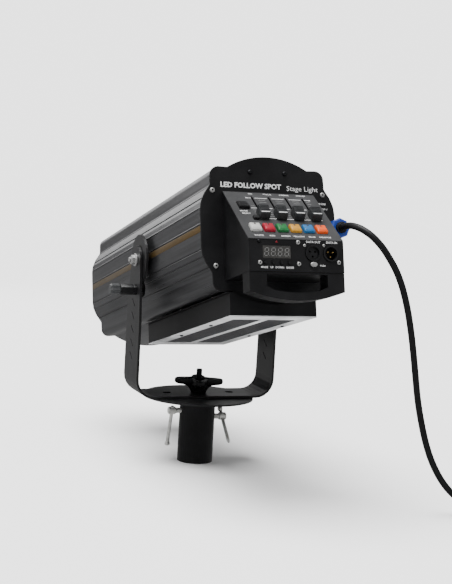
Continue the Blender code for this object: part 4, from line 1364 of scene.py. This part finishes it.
# %% The lead's route
CORD_R = 5 * MM
COIL_R = 57 * MM
COIL_CENTRE = Vector((0.4209, -0.3395, 0))
PLUG_AT = Vector((COIL_CENTRE.x + COIL_R, COIL_CENTRE.y + 37 * MM, 18 * MM))
EXIT = HEAD @ (INLET + Vector((0, -66.4 * MM, 0)))
HANGING = [
    (0.0920, -0.3579, 0.4296), (0.0989, -0.3772, 0.4268), (0.1106, -0.3914, 0.4172),
    (0.1245, -0.3971, 0.4029), (0.1379, -0.3967, 0.3869), (0.1500, -0.3965, 0.3698),
    (0.1597, -0.3965, 0.3513), (0.1674, -0.3965, 0.3318), (0.1738, -0.3965, 0.3119),
    (0.1791, -0.3965, 0.2917), (0.1838, -0.3965, 0.2713), (0.1879, -0.3965, 0.2508),
    (0.1917, -0.3965, 0.2302), (0.1954, -0.3965, 0.2096), (0.1991, -0.3965, 0.1890),
    (0.2035, -0.3965, 0.1686), (0.2089, -0.3965, 0.1484), (0.2149, -0.3965, 0.1283),
    (0.2218, -0.3965, 0.1086), (0.2302, -0.3965, 0.0894), (0.2404, -0.3965, 0.0711),
    (0.2524, -0.3965, 0.0541), (0.2666, -0.3965, 0.0387), (0.2830, -0.3965, 0.0257),
    (0.3014, -0.3965, 0.0159), (0.3214, -0.3965, 0.0098), (0.3421, -0.3965, 0.0066),
    (0.3630, -0.3965, 0.0055), (0.3839, -0.3965, 0.0053),
]
TURNS = 2.25
LAYER = 10.3 * MM
CLIMB_FROM = 150
CLIMB_TO = 250


def coil_points(steps_a_turn=20):
    """Turns stacked one on another: each climbs onto the one below over a quarter turn."""
    made = []
    for i in range(int(TURNS * steps_a_turn) + 1):
        travelled = 360 * i / steps_a_turn
        whole, part = divmod(travelled, 360)
        climb = min(1, max(0, (part - CLIMB_FROM) / (CLIMB_TO - CLIMB_FROM)))
        level = whole + climb * climb * (3 - 2 * climb)
        angle = math.radians(travelled - 90)
        x, y = COIL_R * math.cos(angle), COIL_R * math.sin(angle)
        made.append(COIL_CENTRE + Vector((x, y, CORD_R + LAYER * level)))
    return made


def smooth_line(points, spacing):
    """A Catmull-Rom curve through the points, at about even spacing."""
    points = [Vector(p) for p in points]
    padded = [2 * points[0] - points[1]] + points + [2 * points[-1] - points[-2]]
    made = []
    for i in range(1, len(padded) - 2):
        a, b, c, d = padded[i - 1 : i + 3]
        count = max(1, round((c - b).length / spacing))
        for k in range(count):
            t = k / count
            bend = 2 * a - 5 * b + 4 * c - d
            made.append(0.5 * (2 * b + (c - a) * t + bend * t * t + (3 * b - a - 3 * c + d) * t**3))
    return made + [points[-1]]


coil = coil_points()
lead_in = COIL_CENTRE + Vector((-12 * MM, -COIL_R, 5.05 * MM))
into_plug = [
    coil[-1] + Vector((0, 14 * MM, -2.5 * MM)),
    PLUG_AT + Vector((0, -8 * MM, 0.5 * MM)),
    PLUG_AT + Vector((0, 1 * MM, 0)),
]
ROUTE = smooth_line([EXIT] + HANGING + [lead_in] + coil + into_plug, 6 * MM)
ROUTE_LENGTH = sum((b - a).length for a, b in zip(ROUTE, ROUTE[1:]))
print("lead is", round(ROUTE_LENGTH, 3), "m along", len(ROUTE), "points")


# %% Sweep the jacket along the route
def sweep(points, radius, sides=14):
    """A round tube along the points, its ring carried without twist, both ends closed."""
    bm = bmesh.new()
    rings = []
    across = None
    for i, point in enumerate(points):
        ahead = (points[min(i + 1, len(points) - 1)] - points[max(i - 1, 0)]).normalized()
        if across is None:
            across = ahead.orthogonal().normalized()
        across = (across - ahead * across.dot(ahead)).normalized()
        other = ahead.cross(across)
        ring = []
        for k in range(sides):
            angle = 2 * math.pi * k / sides
            outwards = across * math.cos(angle) + other * math.sin(angle)
            ring.append(bm.verts.new(point + outwards * radius))
        rings.append(ring)
    stack_of(bm, rings)
    return mesh_from(bm, "swept")


jacket = sweep(ROUTE, CORD_R)
cable = ("mains_cable", jacket, RUBBER, None, Matrix.Identity(4), "black_rubber", 60)
lead = piece(*cable, stands_for=["mains_lead", "mains_lead_coil"])
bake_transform(lead)
print("lead laid")

# %% [markdown]
# ## Ground and light
#
# A black lamp is lit for a white page: the ground is white and evenly lit by one broad sun,
# and the sky has the same white where the camera sees it, so no horizon shows. For the lamp
# itself the sky is dim, so black stays black, and three soft lights draw the edges.


# %% Ground
GROUND_WHITE = 0.88
SUN_POWER = 9.0
SUN_HEIGHT = math.radians(78)
SKY_LIGHT = 0.38
PAGE_WHITE = GROUND_WHITE * (SUN_POWER * math.sin(SUN_HEIGHT) / math.pi + SKY_LIGHT)


def ground():
    bm = bmesh.new()
    bmesh.ops.create_grid(bm, x_segments=1, y_segments=1, size=40)
    mesh = mesh_from(bm, "ground")
    made = bpy.data.objects.new("ground", mesh)
    bpy.context.scene.collection.objects.link(made)
    paint = Finish("white ground")
    paint.set(Base_Color=(GROUND_WHITE,) * 3, Roughness=1.0)
    paint.shader.inputs["Specular IOR Level"].default_value = 0.0
    mesh.materials.append(paint.material)
    made.visible_glossy = False


print("page white", round(PAGE_WHITE, 2))


# %% Lights
def point_at(made, target):
    made.rotation_euler = (Vector(target) - made.location).to_track_quat("-Z", "Y").to_euler()


def soft_light(name, place, target, size, power):
    data = bpy.data.lights.new(name, "AREA")
    data.shape = "DISK"
    data.size = size
    data.energy = power
    made = bpy.data.objects.new(name, data)
    bpy.context.scene.collection.objects.link(made)
    made.location = place
    made.visible_camera = False
    point_at(made, target)


def broad_sun():
    data = bpy.data.lights.new("broad sun", "SUN")
    data.energy = SUN_POWER
    data.angle = math.radians(50)
    made = bpy.data.objects.new("broad sun", data)
    bpy.context.scene.collection.objects.link(made)
    made.location = (-math.cos(SUN_HEIGHT), 0.0, math.sin(SUN_HEIGHT))
    point_at(made, (0, 0, 0))


print("lights ready")


# %% Sky
def sky():
    world = bpy.data.worlds.new("studio")
    bpy.context.scene.world = world
    world.use_nodes = True
    tree = world.node_tree
    tree.nodes.clear()
    seen = add_node(tree, "ShaderNodeLightPath")
    white = {"Color": (1, 1, 1, 1)}
    lighting = add_node(tree, "ShaderNodeBackground", {}, {**white, "Strength": SKY_LIGHT})
    page = add_node(tree, "ShaderNodeBackground", {}, {**white, "Strength": PAGE_WHITE})
    either = add_node(tree, "ShaderNodeMixShader")
    out = add_node(tree, "ShaderNodeOutputWorld")
    tree.links.new(seen.outputs["Is Camera Ray"], either.inputs[0])
    tree.links.new(lighting.outputs[0], either.inputs[1])
    tree.links.new(page.outputs[0], either.inputs[2])
    tree.links.new(either.outputs[0], out.inputs["Surface"])


ground()
broad_sun()
sky()
soft_light("left", (-1.8, 0.3, 0.9), (0, 0, 0.25), 0.9, 11)
soft_light("front", (-0.5, 2.4, 1.2), (0, 0, 0.35), 1.6, 12)
soft_light("behind", (1.6, -1.9, 1.5), (0, -0.3, 0.35), 0.5, 5)
print("lights", len(bpy.data.lights))
